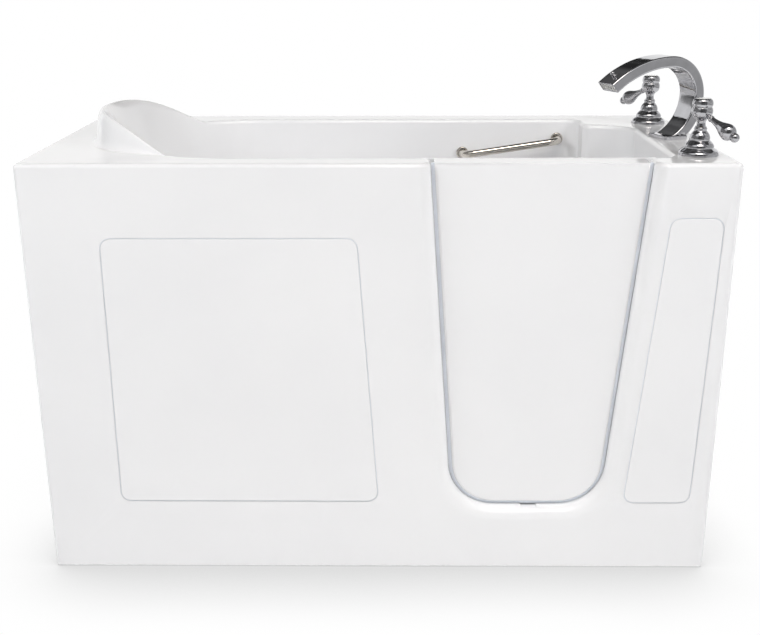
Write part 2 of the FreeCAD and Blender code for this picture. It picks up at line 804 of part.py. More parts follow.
def grab_bar(parts):
    along = V(cos(BAR_SLOPE), 0, sin(BAR_SLOPE))
    end_x = STEP_X - BACK_CORNER_R - BAR_FLANGE_R - 0.5
    start = V(end_x - along.x * BAR_SPAN, IN_BACK, RIM - BAR_BELOW_RIM)
    end = start + along * BAR_SPAN
    out = V(0, -1, 0)
    first = start + out * (BAR_OFF - BAR_BEND)
    second = start + out * BAR_OFF + along * BAR_BEND
    third = end + out * BAR_OFF - along * BAR_BEND
    fourth = end + out * (BAR_OFF - BAR_BEND)
    knee = BAR_BEND * (1 - math.sqrt(0.5))
    arc_a = Part.Arc(first, start + out * (BAR_OFF - knee) + along * knee, second)
    arc_b = Part.Arc(third, end + out * (BAR_OFF - knee) - along * knee, fourth)
    root = start + out * BAR_FLANGE_T
    tail = end + out * BAR_FLANGE_T
    path = Part.Wire([
        Part.makeLine(root, first),
        arc_a.toShape(),
        Part.makeLine(second, third),
        arc_b.toShape(),
        Part.makeLine(fourth, tail),
    ])
    section = Part.Wire(Part.makeCircle(BAR_R, root, out))
    parts["grab_bar"] = path.makePipeShell([section], True, False)
    flanges = []
    for spot in (start, end):
        disc = rod(BAR_FLANGE_R, spot, spot + out * BAR_FLANGE_T)
        rim = [e for e in disc.Edges if e.BoundBox.YMax < IN_BACK - BAR_FLANGE_T + 0.1]
        flanges.append(disc.makeFillet(3, rim))
    parts["grab_bar_flanges"] = group(flanges)


BELL = [
    [(16.2, 0.0), (43.0, 0.0)],
    [(43.0, 0.0), (43.0, 3.0)],
    [(43.0, 3.0), (41.2, 8.0), (36.5, 12.2), (33.6, 14.2)],
    [(33.6, 14.2), (31.4, 15.6)],
    [(31.4, 15.6), (31.7, 19.0), (29.8, 23.6), (25.8, 28.0), (23.8, 30.2)],
    [(23.8, 30.2), (21.4, 31.6)],
    [(21.4, 31.6), (21.6, 37.0), (19.8, 43.2), (16.2, 48.6), (13.9, 51.0)],
    [(13.9, 51.0), (13.0, 53.0)],
    [(13.0, 53.0), (13.8, 55.5), (13.0, 58.2)],
    [(13.0, 58.2), (12.2, 58.8)],
    [(12.2, 58.8), (12.2, 60.4)],
    [(12.2, 60.4), (5.4, 60.4)],
    [(5.4, 60.4), (5.4, 40.0)],
    [(5.4, 40.0), (16.2, 40.0)],
]

HUB = [
    [(5.1, 61.0), (10.2, 61.0)],
    [(10.2, 61.0), (9.6, 65.0), (9.7, 70.0), (12.4, 75.2), (17.2, 79.4), (21.2, 84.0)],
    [(21.2, 84.0), (22.4, 89.0), (22.5, 95.0), (20.8, 100.6)],
    [(20.8, 100.6), (20.0, 102.0)],
    [(20.0, 102.0), (21.2, 103.6)],
    [(21.2, 103.6), (22.0, 108.0), (21.4, 113.0), (19.4, 117.2), (16.4, 119.4)],
    [(16.4, 119.4), (14.8, 119.4)],
    [(14.8, 119.4), (14.8, 117.0)],
    [(14.8, 117.0), (0.0, 117.0)],
    [(0.0, 117.0), (0.0, 112.0)],
    [(0.0, 112.0), (5.1, 112.0)],
]

LEVER = [
    [(0.0, 14.0), (5.0, 14.0)],
    [(5.0, 14.0), (5.0, 28.0)],
    [(5.0, 28.0), (7.2, 28.6)],
    [(7.2, 28.6), (7.2, 31.4)],
    [(7.2, 31.4), (5.8, 32.2)],
    [(5.8, 32.2), (6.6, 43.0), (10.2, 59.0), (15.4, 73.0), (17.4, 85.0), (13.6, 94.5), (8.2, 98.5)],
    [(8.2, 98.5), (9.6, 102.5), (9.4, 108.0), (5.6, 113.0), (0.0, 114.6)],
]
LEVER_AT = 92.0


def lever_line(y, yaw):
    base = tap_spot(y) + V(0, 0, LEVER_AT)
    flat = cos(LEVER_DROOP)
    return base, V(cos(yaw) * flat, sin(yaw) * flat, -sin(LEVER_DROOP))


def handles(parts):
    up = V(0, 0, 1)
    for name, y, yaw in (("cold", COLD_Y, COLD_LEVER_YAW), ("hot", HOT_Y, COLD_LEVER_YAW + 180)):
        spot = tap_spot(y)
        parts[name + "_bell"] = turned(BELL, spot, up)
        base, line = lever_line(y, yaw)
        hub = turned(HUB, spot, up)
        parts[name + "_hub"] = hub.cut(rod(5.1, base + line * 13.5, base + line * 40))
        parts[name + "_lever"] = turned(LEVER, base, line)
        parts[name + "_cap"] = turned([
            [(0.0, 117.0), (14.5, 117.0)],
            [(14.5, 117.0), (14.5, 119.0)],
            [(14.5, 119.0), (10.0, 120.0), (0.0, 120.4)],
        ], spot, up)
        parts[name + "_spindle"] = rod(SPINDLE_R, spot + up * (SPINDLE_SEAT + 1), spot + up * SPINDLE_TOP)


def valves(parts):
    up = V(0, 0, 1)
    nuts = []
    for name, y in (("cold", COLD_Y), ("hot", HOT_Y)):
        spot = tap_spot(y)
        low = spot - up * VALVE_DROP
        shoulder = spot - up * (SHELL + NUT_T + NUT_CLEAR)
        body = joined(
            rod(VALVE_R, low, shoulder),
            rod(VALVE_SHANK_R, shoulder - up, spot + up * VALVE_RISE),
            rod(INLET_R, low - up * INLET_L, low + up),
        )
        body = body.cut(rod(SPINDLE_R + FIT_AIR, spot + up * SPINDLE_SEAT, spot + up * VALVE_RISE * 1.2))
        body = body.cut(rod(INLET_R - BOSS_WALL, low - up * (INLET_L + 1), low + up * INLET_DEEP))
        side = 1 if y < SPOUT_Y else -1
        port = spot + V(0, side * (VALVE_R + PORT_L), -TUBE_DROP)
        body = joined(body, rod(TUBE_R + BOSS_WALL, spot - up * TUBE_DROP, port))
        socket = rod(TUBE_R + FIT_AIR, port - V(0, side * PORT_L, 0), port + V(0, side, 0))
        parts[name + "_valve"] = body.cut(socket).removeSplitter()
        nut_top = RIM - SHELL
        nuts.append(hexagon(VALVE_NUT, VALVE_SHANK_R + FIT_AIR, nut_top - NUT_T, nut_top, spot.x, spot.y))
        hub = tap_spot(SPOUT_Y)
        start = port - V(0, side * (PORT_L - TUBE_SEAT), 0)
        end = V(hub.x, hub.y - side * (TEE_PORT + TUBE_SEAT), start.z)
        parts[name + "_tube"] = tube(TUBE_R, COPPER_T, start, end)
    spot = tap_spot(SPOUT_Y)
    nut_top = RIM - SHELL
    nuts.append(hexagon(SPOUT_NUT, SPOUT_SHANK_R + FIT_AIR, nut_top - NUT_T, nut_top, spot.x, spot.y))
    parts["deck_nuts"] = group(nuts)
    level = spot - up * TUBE_DROP
    across = V(0, TEE_HALF, 0)
    tee = joined(
        rod(SPOUT_SHANK_R + TEE_WALL, level - up * TEE_LOW, level + up * TEE_HIGH),
        rod(TUBE_R + BOSS_WALL, level - across, level + across),
    )
    tee = tee.cut(rod(TUBE_R + FIT_AIR, level - across * 1.1, level - V(0, TEE_PORT, 0)))
    tee = tee.cut(rod(TUBE_R + FIT_AIR, level + V(0, TEE_PORT, 0), level + across * 1.1))
    tee = tee.cut(rod(SPOUT_SHANK_R + FIT_AIR, level + up * TEE_SEAT, level + up * TEE_HIGH * 1.2))
    tee = tee.cut(rod(WATERWAY_R, level - up * 2, level + up * TEE_HIGH * 1.2))
    through = V(0, TEE_PORT + 2, 0)
    tee = tee.cut(rod(TEE_BORE_R, level - through, level + through))
    parts["spout_tee"] = tee
    shank_top = spot + up * SHANK_RISE
    shank_low = level + up * (TEE_SEAT + SHANK_AIR)
    parts["spout_shank"] = ring(SPOUT_SHANK_R, WATERWAY_R, shank_low, shank_top)


def spout_plane():
    # Flat axes of the spout: u runs towards the outlet, v up, w across
    u = V(-cos(SPOUT_TURN), -sin(SPOUT_TURN), 0)
    return u, V(0, 0, 1), u.cross(V(0, 0, 1))


def spout_line(part):
    # Centre line of the spout as three arcs end to end; part runs 0..1 from foot to outlet
    foot_angle = math.degrees(math.asin(SPOUT_HEIGHT / SPOUT_FOOT_R))
    shift = SPOUT_FOOT_R * cos(foot_angle)
    lengths = [SPOUT_FOOT_R * foot_angle, SPOUT_BACK_R * 90, SPOUT_TOP_R * SPOUT_SWEEP]
    run = part * sum(lengths)
    if run <= lengths[0]:
        angle = foot_angle - run / SPOUT_FOOT_R
        centre = (shift, SPOUT_HEIGHT)
        spot = (centre[0] - SPOUT_FOOT_R * cos(angle), centre[1] - SPOUT_FOOT_R * sin(angle))
        return spot, (-sin(angle), cos(angle))
    run -= lengths[0]
    centre_u = shift - SPOUT_FOOT_R + SPOUT_BACK_R
    if run <= lengths[1]:
        angle = run / SPOUT_BACK_R
        spot = (centre_u - SPOUT_BACK_R * cos(angle), SPOUT_HEIGHT + SPOUT_BACK_R * sin(angle))
        return spot, (sin(angle), cos(angle))
    run -= lengths[1]
    angle = 90 - run / SPOUT_TOP_R
    centre = (centre_u, SPOUT_HEIGHT + SPOUT_BACK_R - SPOUT_TOP_R)
    spot = (centre[0] + SPOUT_TOP_R * cos(angle), centre[1] + SPOUT_TOP_R * sin(angle))
    return spot, (sin(angle), -cos(angle))


def spout_foot():
    return tap_spot(SPOUT_Y) + spout_plane()[0] * SPOUT_LEAD


def spout_frame(part):
    u, v, w = spout_plane()
    spot, tangent = spout_line(part)
    centre = spout_foot() + u * spot[0] + v * spot[1]
    ahead = u * tangent[0] + v * tangent[1]
    outward = u * -tangent[1] + v * tangent[0]
    return centre, ahead, outward, w


def spout_section(part, wide, thick, radius, push=0.0):
    # A rounded oblong square to the spout's line, pushed along the line if asked
    centre, ahead, outward, across = spout_frame(part)
    w = wide / 2
    t = thick / 2
    corners = [(-w, -t), (w, -t), (w, t), (-w, t)]
    return rounded_wire(corners, [radius] * 4, lambda a, b: centre + across * a + outward * b + ahead * push)


def spout_parts(parts):
    u, v, w = spout_plane()
    steps = 20
    start = -0.08
    sections = []
    for i in range(steps + 1):
        part = start + (1 - start) * i / steps
        sections.append(spout_section(part, SPOUT_WIDE, SPOUT_THICK, SPOUT_EDGE_R))
    body = Part.makeLoft(sections, True, False)
    spot = tap_spot(SPOUT_Y)
    foot = spout_foot()
    floor = RIM + SPOUT_PLATE_H
    reach = SPOUT_WIDE * 2
    below = box(foot.x - reach, foot.x + reach, foot.y - reach, foot.y + reach, RIM - reach, floor)
    body = body.cut(below)

    half_l = SPOUT_PLATE_L / 2
    half_w = SPOUT_WIDE / 2 + SPOUT_PLATE_OVER
    corners = [(-half_l, -half_w), (half_l, -half_w), (half_l, half_w), (-half_l, half_w)]
    outline = rounded_wire(corners, [SPOUT_EDGE_R] * 4, lambda a, b: foot + u * a + w * b)
    plate = Part.Face(outline).extrude(v * SPOUT_PLATE_H)
    plate = plate.makeFillet(PLATE_EDGE_R, flat_edges(plate, floor))
    plate = plate.cut(rod(SPOUT_SHANK_R + FIT_AIR, spot - v, spot + v * (SHANK_RISE + SHANK_TOP_AIR)))
    parts["spout_base"] = plate.cut(rod(WATERWAY_R, spot, spot + v * SPOUT_PLATE_H * 2))

    mouth_w = SPOUT_WIDE - 2 * OUTLET_RIM
    mouth_t = SPOUT_THICK - 2 * OUTLET_RIM
    mouth = Part.Face(spout_section(1.0, mouth_w, mouth_t, MOUTH_R, 1.0))
    centre, ahead, outward, across = spout_frame(1.0)
    body = body.cut(mouth.extrude(ahead * -(OUTLET_DEEP + 1)))
    knob_at, knob_line, knob_up, knob_w = spout_frame(KNOB_AT)
    parts["spout"] = body.cut(rod(KNOB_STEM_R + KNOB_HOLE_AIR, knob_at, knob_at + knob_up * SPOUT_THICK))

    screen_w = mouth_w - 2 * FIT_AIR
    screen_t = mouth_t - 2 * FIT_AIR
    screen = Part.Face(spout_section(1.0, screen_w, screen_t, SCREEN_R, -OUTLET_DEEP))
    insert = screen.extrude(ahead * (OUTLET_DEEP - SCREEN_SINK))
    columns = 4
    for i in range(-columns, columns + 1):
        for j in (-1, 0, 1):
            jet = centre + across * (i * mouth_w / 10) + outward * (j * mouth_t / 3.6)
            insert = insert.cut(rod(JET_R, jet - ahead * (OUTLET_DEEP + 1), jet + ahead))
    parts["spout_outlet"] = insert
    rise = SPOUT_THICK / 2
    stem_foot = rise - DIVERTER_LIFT - 1
    top = knob_at + knob_up * (rise + KNOB_RISE)
    stem = rod(KNOB_STEM_R, knob_at + knob_up * stem_foot, knob_at + knob_up * (rise + 3))
    collar_low = knob_at + knob_up * (rise + KNOB_COLLAR_LOW)
    collar = rod(KNOB_COLLAR_R, collar_low, knob_at + knob_up * (rise + KNOB_COLLAR_HIGH))
    ball = Part.makeSphere(KNOB_R, top)
    parts["diverter_knob"] = joined(stem, collar, ball)


def waste_parts(parts):
    up = V(0, 0, 1)
    drain = drain_spot()
    shoe_top = FLOOR_UNDER - GASKET_T
    flange = turned([
        [(DRAIN_BORE_R, 0.0), (FLANGE_R, 0.0)],
        [(FLANGE_R, 0.0), (FLANGE_R - 0.6, 1.4), (FLANGE_R - 5, 2.8)],
        [(FLANGE_R - 5, 2.8), (DRAIN_BORE_R + 6, 2.8)],
        [(DRAIN_BORE_R + 6, 2.8), (DRAIN_BORE_R + 1.5, 1.8), (DRAIN_BORE_R, 0.0)],
    ], drain, up)
    barrel_end = V(drain.x, drain.y, shoe_top - 12)
    barrel = ring(BARREL_R, DRAIN_BORE_R, barrel_end, drain + up * 0.5)
    spider_z = barrel_end.z + 2
    spider = box(drain.x - 20, drain.x + 20, drain.y - 3, drain.y + 3, spider_z, spider_z + 6)
    cross = box(drain.x - 3, drain.x + 3, drain.y - 20, drain.y + 20, spider_z, spider_z + 6)
    hub = V(drain.x, drain.y, spider_z)
    strainer = joined(flange, barrel, spider, cross, rod(7, hub, hub + up * 8))
    parts["drain_strainer"] = strainer.cut(rod(4.0, hub - up * 5, hub + up * 20))
    cap = turned([
        [(0.0, 3.1), (DRAIN_BORE_R + 5, 3.1)],
        [(DRAIN_BORE_R + 5, 3.1), (DRAIN_BORE_R + 5, 5.0)],
        [(DRAIN_BORE_R + 5, 5.0), (DRAIN_BORE_R - 2, 7.6), (0.0, 9.0)],
    ], drain, up)
    stem = rod(3.6, V(drain.x, drain.y, spider_z - 8), drain + up * 4)
    parts["drain_stopper"] = joined(cap, stem)
    under = V(drain.x, drain.y, FLOOR_UNDER)
    parts["drain_gasket"] = ring(33, BARREL_R + FIT_AIR, under - up * GASKET_T, under)
    pipe_low = V(drain.x, drain.y, WASTE_Z)
    shoe_low = WASTE_Z - PIPE_R - SOCKET_T
    top = V(drain.x, drain.y, shoe_top)
    bottom = V(drain.x, drain.y, shoe_low)
    outer = PIPE_R + SOCKET_T
    mouth = pipe_low + V(62, 0, 0)
    shoe = joined(
        rod(31, top - up * 8, top),
        rod(BARREL_R + SOCKET_T, bottom, top),
        rod(outer, pipe_low, mouth),
    )
    shoe = shoe.cut(rod(BARREL_R + FIT_AIR, top - up * 13, top + up))
    shoe = shoe.cut(rod(DRAIN_BORE_R, bottom + up * SOCKET_T, top))
    shoe = shoe.cut(rod(PIPE_R - PIPE_T, pipe_low, mouth))
    shoe = shoe.cut(rod(PIPE_R + FIT_AIR, mouth - V(28, 0, 0), mouth + V(1, 0, 0)))
    parts["drain_shoe"] = shoe
    tee_x = IN_TAP + TEE_FROM_WALL
    branch = V(tee_x - 46, drain.y, WASTE_Z)
    start = mouth - V(27, 0, 0)
    end = branch + V(22, 0, 0)
    parts["waste_pipe"] = tube(PIPE_R, PIPE_T, start, end)
    tee_mid = V(tee_x, drain.y, WASTE_Z)
    tee_top = tee_mid + up * 56
    tee_low = tee_mid - up * (PIPE_R + SOCKET_T + 6)
    tee = joined(rod(outer, tee_low, tee_top), rod(outer, branch, tee_mid))
    tee = tee.cut(rod(PIPE_R + FIT_AIR, tee_top - up * 26, tee_top + up))
    tee = tee.cut(rod(PIPE_R + FIT_AIR, tee_low - up, tee_low + up * 16))
    tee = tee.cut(rod(PIPE_R - PIPE_T, tee_low, tee_top))
    tee = tee.cut(rod(PIPE_R + FIT_AIR, branch - V(1, 0, 0), branch + V(23, 0, 0)))
    tee = tee.cut(rod(PIPE_R - PIPE_T, branch, tee_mid))
    parts["waste_tee"] = tee
    tail = joined(
        rod(PIPE_R, V(tee_x, drain.y, 3), tee_low),
        rod(PIPE_R - 0.4, tee_low - up, tee_low + up * 15),
    )
    parts["tailpiece"] = tail.cut(rod(PIPE_R - PIPE_T, V(tee_x, drain.y, 0), tee_mid))
    over = overflow_spot()
    elbow_mid = V(tee_x, over.y, over.z)
    wall_out = V(IN_TAP + SHELL, over.y, over.z)
    face = wall_out + V(GASKET_T, 0, 0)
    socket_low = elbow_mid - up * 58
    parts["overflow_pipe"] = tube(PIPE_R, PIPE_T, tee_top - up * 25, socket_low + up * 27)
    elbow = joined(
        rod(34, face, face + V(7, 0, 0)),
        rod(outer, face, elbow_mid),
        rod(outer, socket_low, elbow_mid),
        Part.makeSphere(outer, elbow_mid),
    )
    elbow = elbow.cut(rod(PIPE_R - PIPE_T, face - V(1, 0, 0), elbow_mid))
    elbow = elbow.cut(rod(PIPE_R + FIT_AIR, socket_low - up, socket_low + up * 28))
    elbow = elbow.cut(rod(PIPE_R - PIPE_T, socket_low, elbow_mid))
    elbow = elbow.cut(Part.makeSphere(PIPE_R - PIPE_T, elbow_mid))
    parts["overflow_elbow"] = elbow
    parts["overflow_gasket"] = ring(33, OVERFLOW_HOLE_R, wall_out, face)
    inner = V(IN_TAP, over.y, over.z)
    plate = turned([
        [(0.0, 10.0), (0.0, 7.0)],
        [(0.0, 7.0), (OVERFLOW_R - 5, 6.4)],
        [(OVERFLOW_R - 5, 6.4), (OVERFLOW_R - 5, 0.0)],
        [(OVERFLOW_R - 5, 0.0), (OVERFLOW_R, 0.0)],
        [(OVERFLOW_R, 0.0), (OVERFLOW_R, 5.0)],
        [(OVERFLOW_R, 5.0), (OVERFLOW_R - 3, 8.4), (OVERFLOW_R - 12, 9.6)],
        [(OVERFLOW_R - 12, 9.6), (0.0, 10.0)],
    ], inner, V(-1, 0, 0))
    slot = box(inner.x - 12, inner.x + 1, inner.y - 13, inner.y + 13, inner.z - 60, inner.z - 28)
    parts["overflow_plate"] = plate.cut(slot)


def square_tube(start, end):
    # A hollow square tube along X, Y or Z
    low = V(min(start.x, end.x), min(start.y, end.y), min(start.z, end.z))
    high = V(max(start.x, end.x), max(start.y, end.y), max(start.z, end.z))
    line = high - low
    h = TUBE / 2
    n = h - TUBE_WALL
    if line.x > 1:
        outer = box(low.x, high.x, low.y - h, low.y + h, low.z - h, low.z + h)
        return outer.cut(box(low.x - 1, high.x + 1, low.y - n, low.y + n, low.z - n, low.z + n))
    if line.y > 1:
        outer = box(low.x - h, low.x + h, low.y, high.y, low.z - h, low.z + h)
        return outer.cut(box(low.x - n, low.x + n, low.y - 1, high.y + 1, low.z - n, low.z + n))
    outer = box(low.x - h, low.x + h, low.y - h, low.y + h, low.z, high.z)
    return outer.cut(box(low.x - n, low.x + n, low.y - n, low.y + n, low.z - 1, high.z + 1))


def frame_parts(parts):
    h = TUBE / 2
    rail_z = FLOOR_UNDER - h
    front_y = Y0 + FRAME_SIDE + h
    rear_y = Y1 - FRAME_SIDE - h
    left = X0 + FRAME_END
    right = X1 - FRAME_END
    up = V(0, 0, 1)
    feet_x = (left + FOOT_FROM_END, SEAT_FRONT - SEAT_POST_FRONT, right - FOOT_FROM_END)
    pads = []
    studs = []
    nuts = []
    for name, y in (("front_base_rail", front_y), ("rear_base_rail", rear_y)):
        rail = square_tube(V(left, y, rail_z), V(right, y, rail_z))
        for x in feet_x:
            under = V(x, y, rail_z - h)
            rail = rail.cut(rod(STUD_FOOT_R + FIT_AIR, under - up, under + up * 4))
            pad = turned([
                [(0.0, 0.0), (FOOT_R, 0.0)],
                [(FOOT_R, 0.0), (FOOT_R, 4.0)],
                [(FOOT_R, 4.0), (FOOT_R - 5, 8.0), (11.0, FOOT_H)],
                [(11.0, FOOT_H), (0.0, FOOT_H)],
            ], V(x, y, 0), up)
            pads.append(pad)
            studs.append(rod(STUD_FOOT_R, V(x, y, FOOT_H), under + up * 22))
            nuts.append(hexagon(FOOT_NUT, STUD_FOOT_R + FIT_AIR, under.z - FOOT_NUT_T, under.z, x, y))
        parts[name] = rail
    parts["foot_pads"] = group(pads)
    parts["foot_studs"] = group(studs)
    parts["foot_nuts"] = group(nuts)
    reach_a = front_y + h
    reach_b = rear_y - h
    crosses = []
    for x in (left + h, SEAT_FRONT - SEAT_CROSS_BACK, (SEAT_FRONT + drain_spot().x) / 2):
        crosses.append(square_tube(V(x, reach_a, rail_z), V(x, reach_b, rail_z)))
    parts["base_cross_rails"] = group(crosses)
    corner_posts = []
    for x in (left + h, right - h):
        for y in (front_y, rear_y):
            corner_posts.append(square_tube(V(x, y, FLOOR_UNDER), V(x, y, DECK_UNDER)))
    parts["corner_posts"] = group(corner_posts)
    seat_under = SEAT_Z - SHELL
    posts = []
    bearers = []
    for x in (SEAT_FRONT - SEAT_POST_FRONT, SEAT_FRONT - SEAT_POST_REAR):
        for y in (front_y, rear_y):
            posts.append(square_tube(V(x, y, FLOOR_UNDER), V(x, y, seat_under - TUBE)))
        level = seat_under - h
        bearers.append(square_tube(V(x, front_y - h, level), V(x, rear_y + h, level)))
    parts["seat_posts"] = group(posts)
    parts["seat_bearers"] = group(bearers)


def main():
    parts = {}
    deck, apron = split_shell(moulding())
    parts["basin_shell"] = deck
    parts["front_apron"] = apron
    access_panels(parts)
    door_parts(parts)
    hinge_parts(parts)
    latch_parts(parts)
    grab_bar(parts)
    handles(parts)
    valves(parts)
    spout_parts(parts)
    waste_parts(parts)
    frame_parts(parts)
    os.makedirs("parts", exist_ok=True)
    for name, shape in parts.items():
        shape.exportStep("parts/" + name + ".step")


main()
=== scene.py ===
# %% [markdown]
# # A walk-in soaking tub, dressed for the studio
# The packed model gives every piece its true size and place. This lesson gives each piece its finish and
# the small things that a maker adds by hand: gel coat, polished metal, seals, screws, threads and welds.
# The frame is loaded first.

import json
from math import pi, radians

import bpy
from mathutils import Matrix, Vector


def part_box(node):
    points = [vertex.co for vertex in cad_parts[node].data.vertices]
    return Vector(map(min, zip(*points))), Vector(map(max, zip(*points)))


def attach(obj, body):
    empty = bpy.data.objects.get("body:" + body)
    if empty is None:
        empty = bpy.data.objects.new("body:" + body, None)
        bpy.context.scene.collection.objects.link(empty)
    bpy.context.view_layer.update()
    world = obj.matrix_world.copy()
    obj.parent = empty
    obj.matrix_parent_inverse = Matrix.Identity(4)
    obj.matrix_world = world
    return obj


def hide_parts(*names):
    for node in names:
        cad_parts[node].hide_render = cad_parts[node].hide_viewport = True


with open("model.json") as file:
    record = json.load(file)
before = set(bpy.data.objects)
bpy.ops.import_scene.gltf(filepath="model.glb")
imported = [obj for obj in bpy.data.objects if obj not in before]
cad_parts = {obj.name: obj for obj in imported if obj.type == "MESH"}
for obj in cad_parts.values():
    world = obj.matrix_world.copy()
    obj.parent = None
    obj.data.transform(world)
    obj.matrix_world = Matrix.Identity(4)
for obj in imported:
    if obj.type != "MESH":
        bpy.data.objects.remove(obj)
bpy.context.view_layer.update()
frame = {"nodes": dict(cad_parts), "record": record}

record = frame["record"]
BODY_OF = {node: body for body, nodes in record["behaviour"]["bodies"].items() for node in nodes}
SLOT_OF = {row["node"]: row["material_slot"] for row in record["subparts"]}
scene = bpy.context.scene

# %% [markdown]
# ## The camera
# The tub was photographed from just above its deck, from a little under three metres away. A camera that
# was fitted to the corners of the tub gives the lens, the height and the slight downward look. The vertical
# shift stands for the way the picture was cropped.

# %% Camera
PICTURE_WIDTH = 760.0
FOCAL_PIXELS = 1103.0
CENTRE_DROP_PIXELS = 27.5
SENSOR_WIDTH = 36.0
CAMERA_PLACE = Vector((0.0295, -2.6662, 1.350))
CAMERA_PITCH = radians(-19.20)
CAMERA_YAW = radians(0.61)
CAMERA_ROLL = radians(0.16)

bpy.ops.object.camera_add()
camera = bpy.context.object
camera.name = "studio_camera"
camera.data.sensor_fit = "HORIZONTAL"
camera.data.sensor_width = SENSOR_WIDTH
camera.data.lens = FOCAL_PIXELS / PICTURE_WIDTH * SENSOR_WIDTH
camera.data.shift_y = CENTRE_DROP_PIXELS / PICTURE_WIDTH
turn = Matrix.Rotation(CAMERA_YAW, 4, "Z")
turn = turn @ Matrix.Rotation(CAMERA_PITCH, 4, "X")
turn = turn @ Matrix.Rotation(CAMERA_ROLL, 4, "Y")
turn = turn @ Matrix.Rotation(radians(90), 4, "X")
camera.matrix_world = Matrix.Translation(CAMERA_PLACE) @ turn
scene.camera = camera
scene.view_settings.view_transform = "Standard"
print("lens", round(camera.data.lens, 2))

# %% [markdown]
# ## A small kit for materials
# Every finish starts from the principled shader and reads Object coordinates, so a pattern has a real size
# in metres and stays put when the piece moves. A finish could also be painted on a UV map, but pieces that
# come from CAD have none.

# %% A finish to start from


def new_finish(name, color, roughness, metallic=0.0):
    """A principled material, with its shader, its links and its object coordinates."""
    material = bpy.data.materials.new(name)
    material.use_nodes = True
    tree = material.node_tree
    shader = tree.nodes["Principled BSDF"]
    shader.inputs["Base Color"].default_value = (*color, 1.0)
    shader.inputs["Roughness"].default_value = roughness
    shader.inputs["Metallic"].default_value = metallic
    where = tree.nodes.new("ShaderNodeTexCoord").outputs["Object"]
    return material, tree, shader, where


print("new_finish:", new_finish.__doc__)

# %% [markdown]
# ## Patterns
# No real surface has one flat colour. A noise gives soft patches, a ramp turns them into a range of values
# or colours, and a bump raises the surface by them. An image could do the same, but a noise has no seams
# and needs no file.

# %% Patterns


def noise(tree, where, scale, detail=2.0, rough=0.5):
    """A soft noise pattern; scale is in patches per metre."""
    texture = tree.nodes.new("ShaderNodeTexNoise")
    texture.inputs["Scale"].default_value = scale
    texture.inputs["Detail"].default_value = detail
    texture.inputs["Roughness"].default_value = rough
    tree.links.new(where, texture.inputs["Vector"])
    return texture.outputs["Fac"]


def ramp(tree, pattern, low, high, start, end):
    """Turn a pattern between low and high into colours or greys between start and end."""
    node = tree.nodes.new("ShaderNodeValToRGB")
    node.color_ramp.elements[0].position = low
    node.color_ramp.elements[1].position = high
    node.color_ramp.elements[0].color = (*start, 1.0)
    node.color_ramp.elements[1].color = (*end, 1.0)
    tree.links.new(pattern, node.inputs["Fac"])
    return node.outputs["Color"]


def grey_ramp(tree, pattern, low, high, start, end):
    """A ramp between two plain values."""
    return ramp(tree, pattern, low, high, (start,) * 3, (end,) * 3)


def bump(tree, shader, height, strength, distance, under=None):
    """Raise the surface by a pattern; several bumps are chained through under."""
    node = tree.nodes.new("ShaderNodeBump")
    node.inputs["Strength"].default_value = strength
    node.inputs["Distance"].default_value = distance
    tree.links.new(height, node.inputs["Height"])
    if under is not None:
        tree.links.new(under, node.inputs["Normal"])
    tree.links.new(node.outputs["Normal"], shader.inputs["Normal"])
    return node.outputs["Normal"]


for helper in (noise, ramp, grey_ramp, bump):
    print(helper.__name__ + ":", helper.__doc__)

# %% [markdown]
# ## Gel coat
# The tub is a white gel coat, sprayed in a mould and polished. It is glossy, with the faint long waves and
# the fine orange peel that any sprayed coat shows when a light slides over it. The tint moves a little
# from place to place, far less than the eye notices at first.

# %% Gel coat


def gel_coat_finish():
    """White gel coat with long waves and a fine orange peel."""
    material, tree, shader, where = new_finish("gel_coat", (0.89, 0.89, 0.895), 0.12)
    shader.inputs["Coat Weight"].default_value = 0.35
    shader.inputs["Coat Roughness"].default_value = 0.05
    cloud = noise(tree, where, 3.0, 3.0)
    tint = ramp(tree, cloud, 0.3, 0.7, (0.88, 0.88, 0.886), (0.905, 0.905, 0.908))
    tree.links.new(tint, shader.inputs["Base Color"])
    haze = noise(tree, where, 9.0, 4.0)
    tree.links.new(grey_ramp(tree, haze, 0.35, 0.7, 0.09, 0.17), shader.inputs["Roughness"])
    waves = bump(tree, shader, noise(tree, where, 7.0, 1.0), 0.05, 0.002)
    bump(tree, shader, noise(tree, where, 650.0, 2.0), 0.02, 0.0003, under=waves)
    return material


gel_coat = gel_coat_finish()
print("finish", gel_coat.name)

# %% [markdown]
# ## Bare laminate
# The dry side of the moulding is bare glass fibre in resin. Short strands lie every way, a little paler and
# a little raised, and the roller leaves the whole sheet lumpy. Strands are noise stretched along one
# direction, laid four times at different turns.

# %% Laminate
STRAND_TURNS = (0.0, 0.8, 1.6, 2.4)
STRAND_STRETCH = (9.0, 160.0, 160.0)


def stretched(tree, where, scale, turn=(0.0, 0.0, 0.0)):
    """Object coordinates turned and then stretched, for a pattern that runs one way."""
    mapping = tree.nodes.new("ShaderNodeMapping")
    mapping.vector_type = "TEXTURE"
    mapping.inputs["Scale"].default_value = [1.0 / part for part in scale]
    mapping.inputs["Rotation"].default_value = turn
    tree.links.new(where, mapping.inputs["Vector"])
    return mapping.outputs["Vector"]


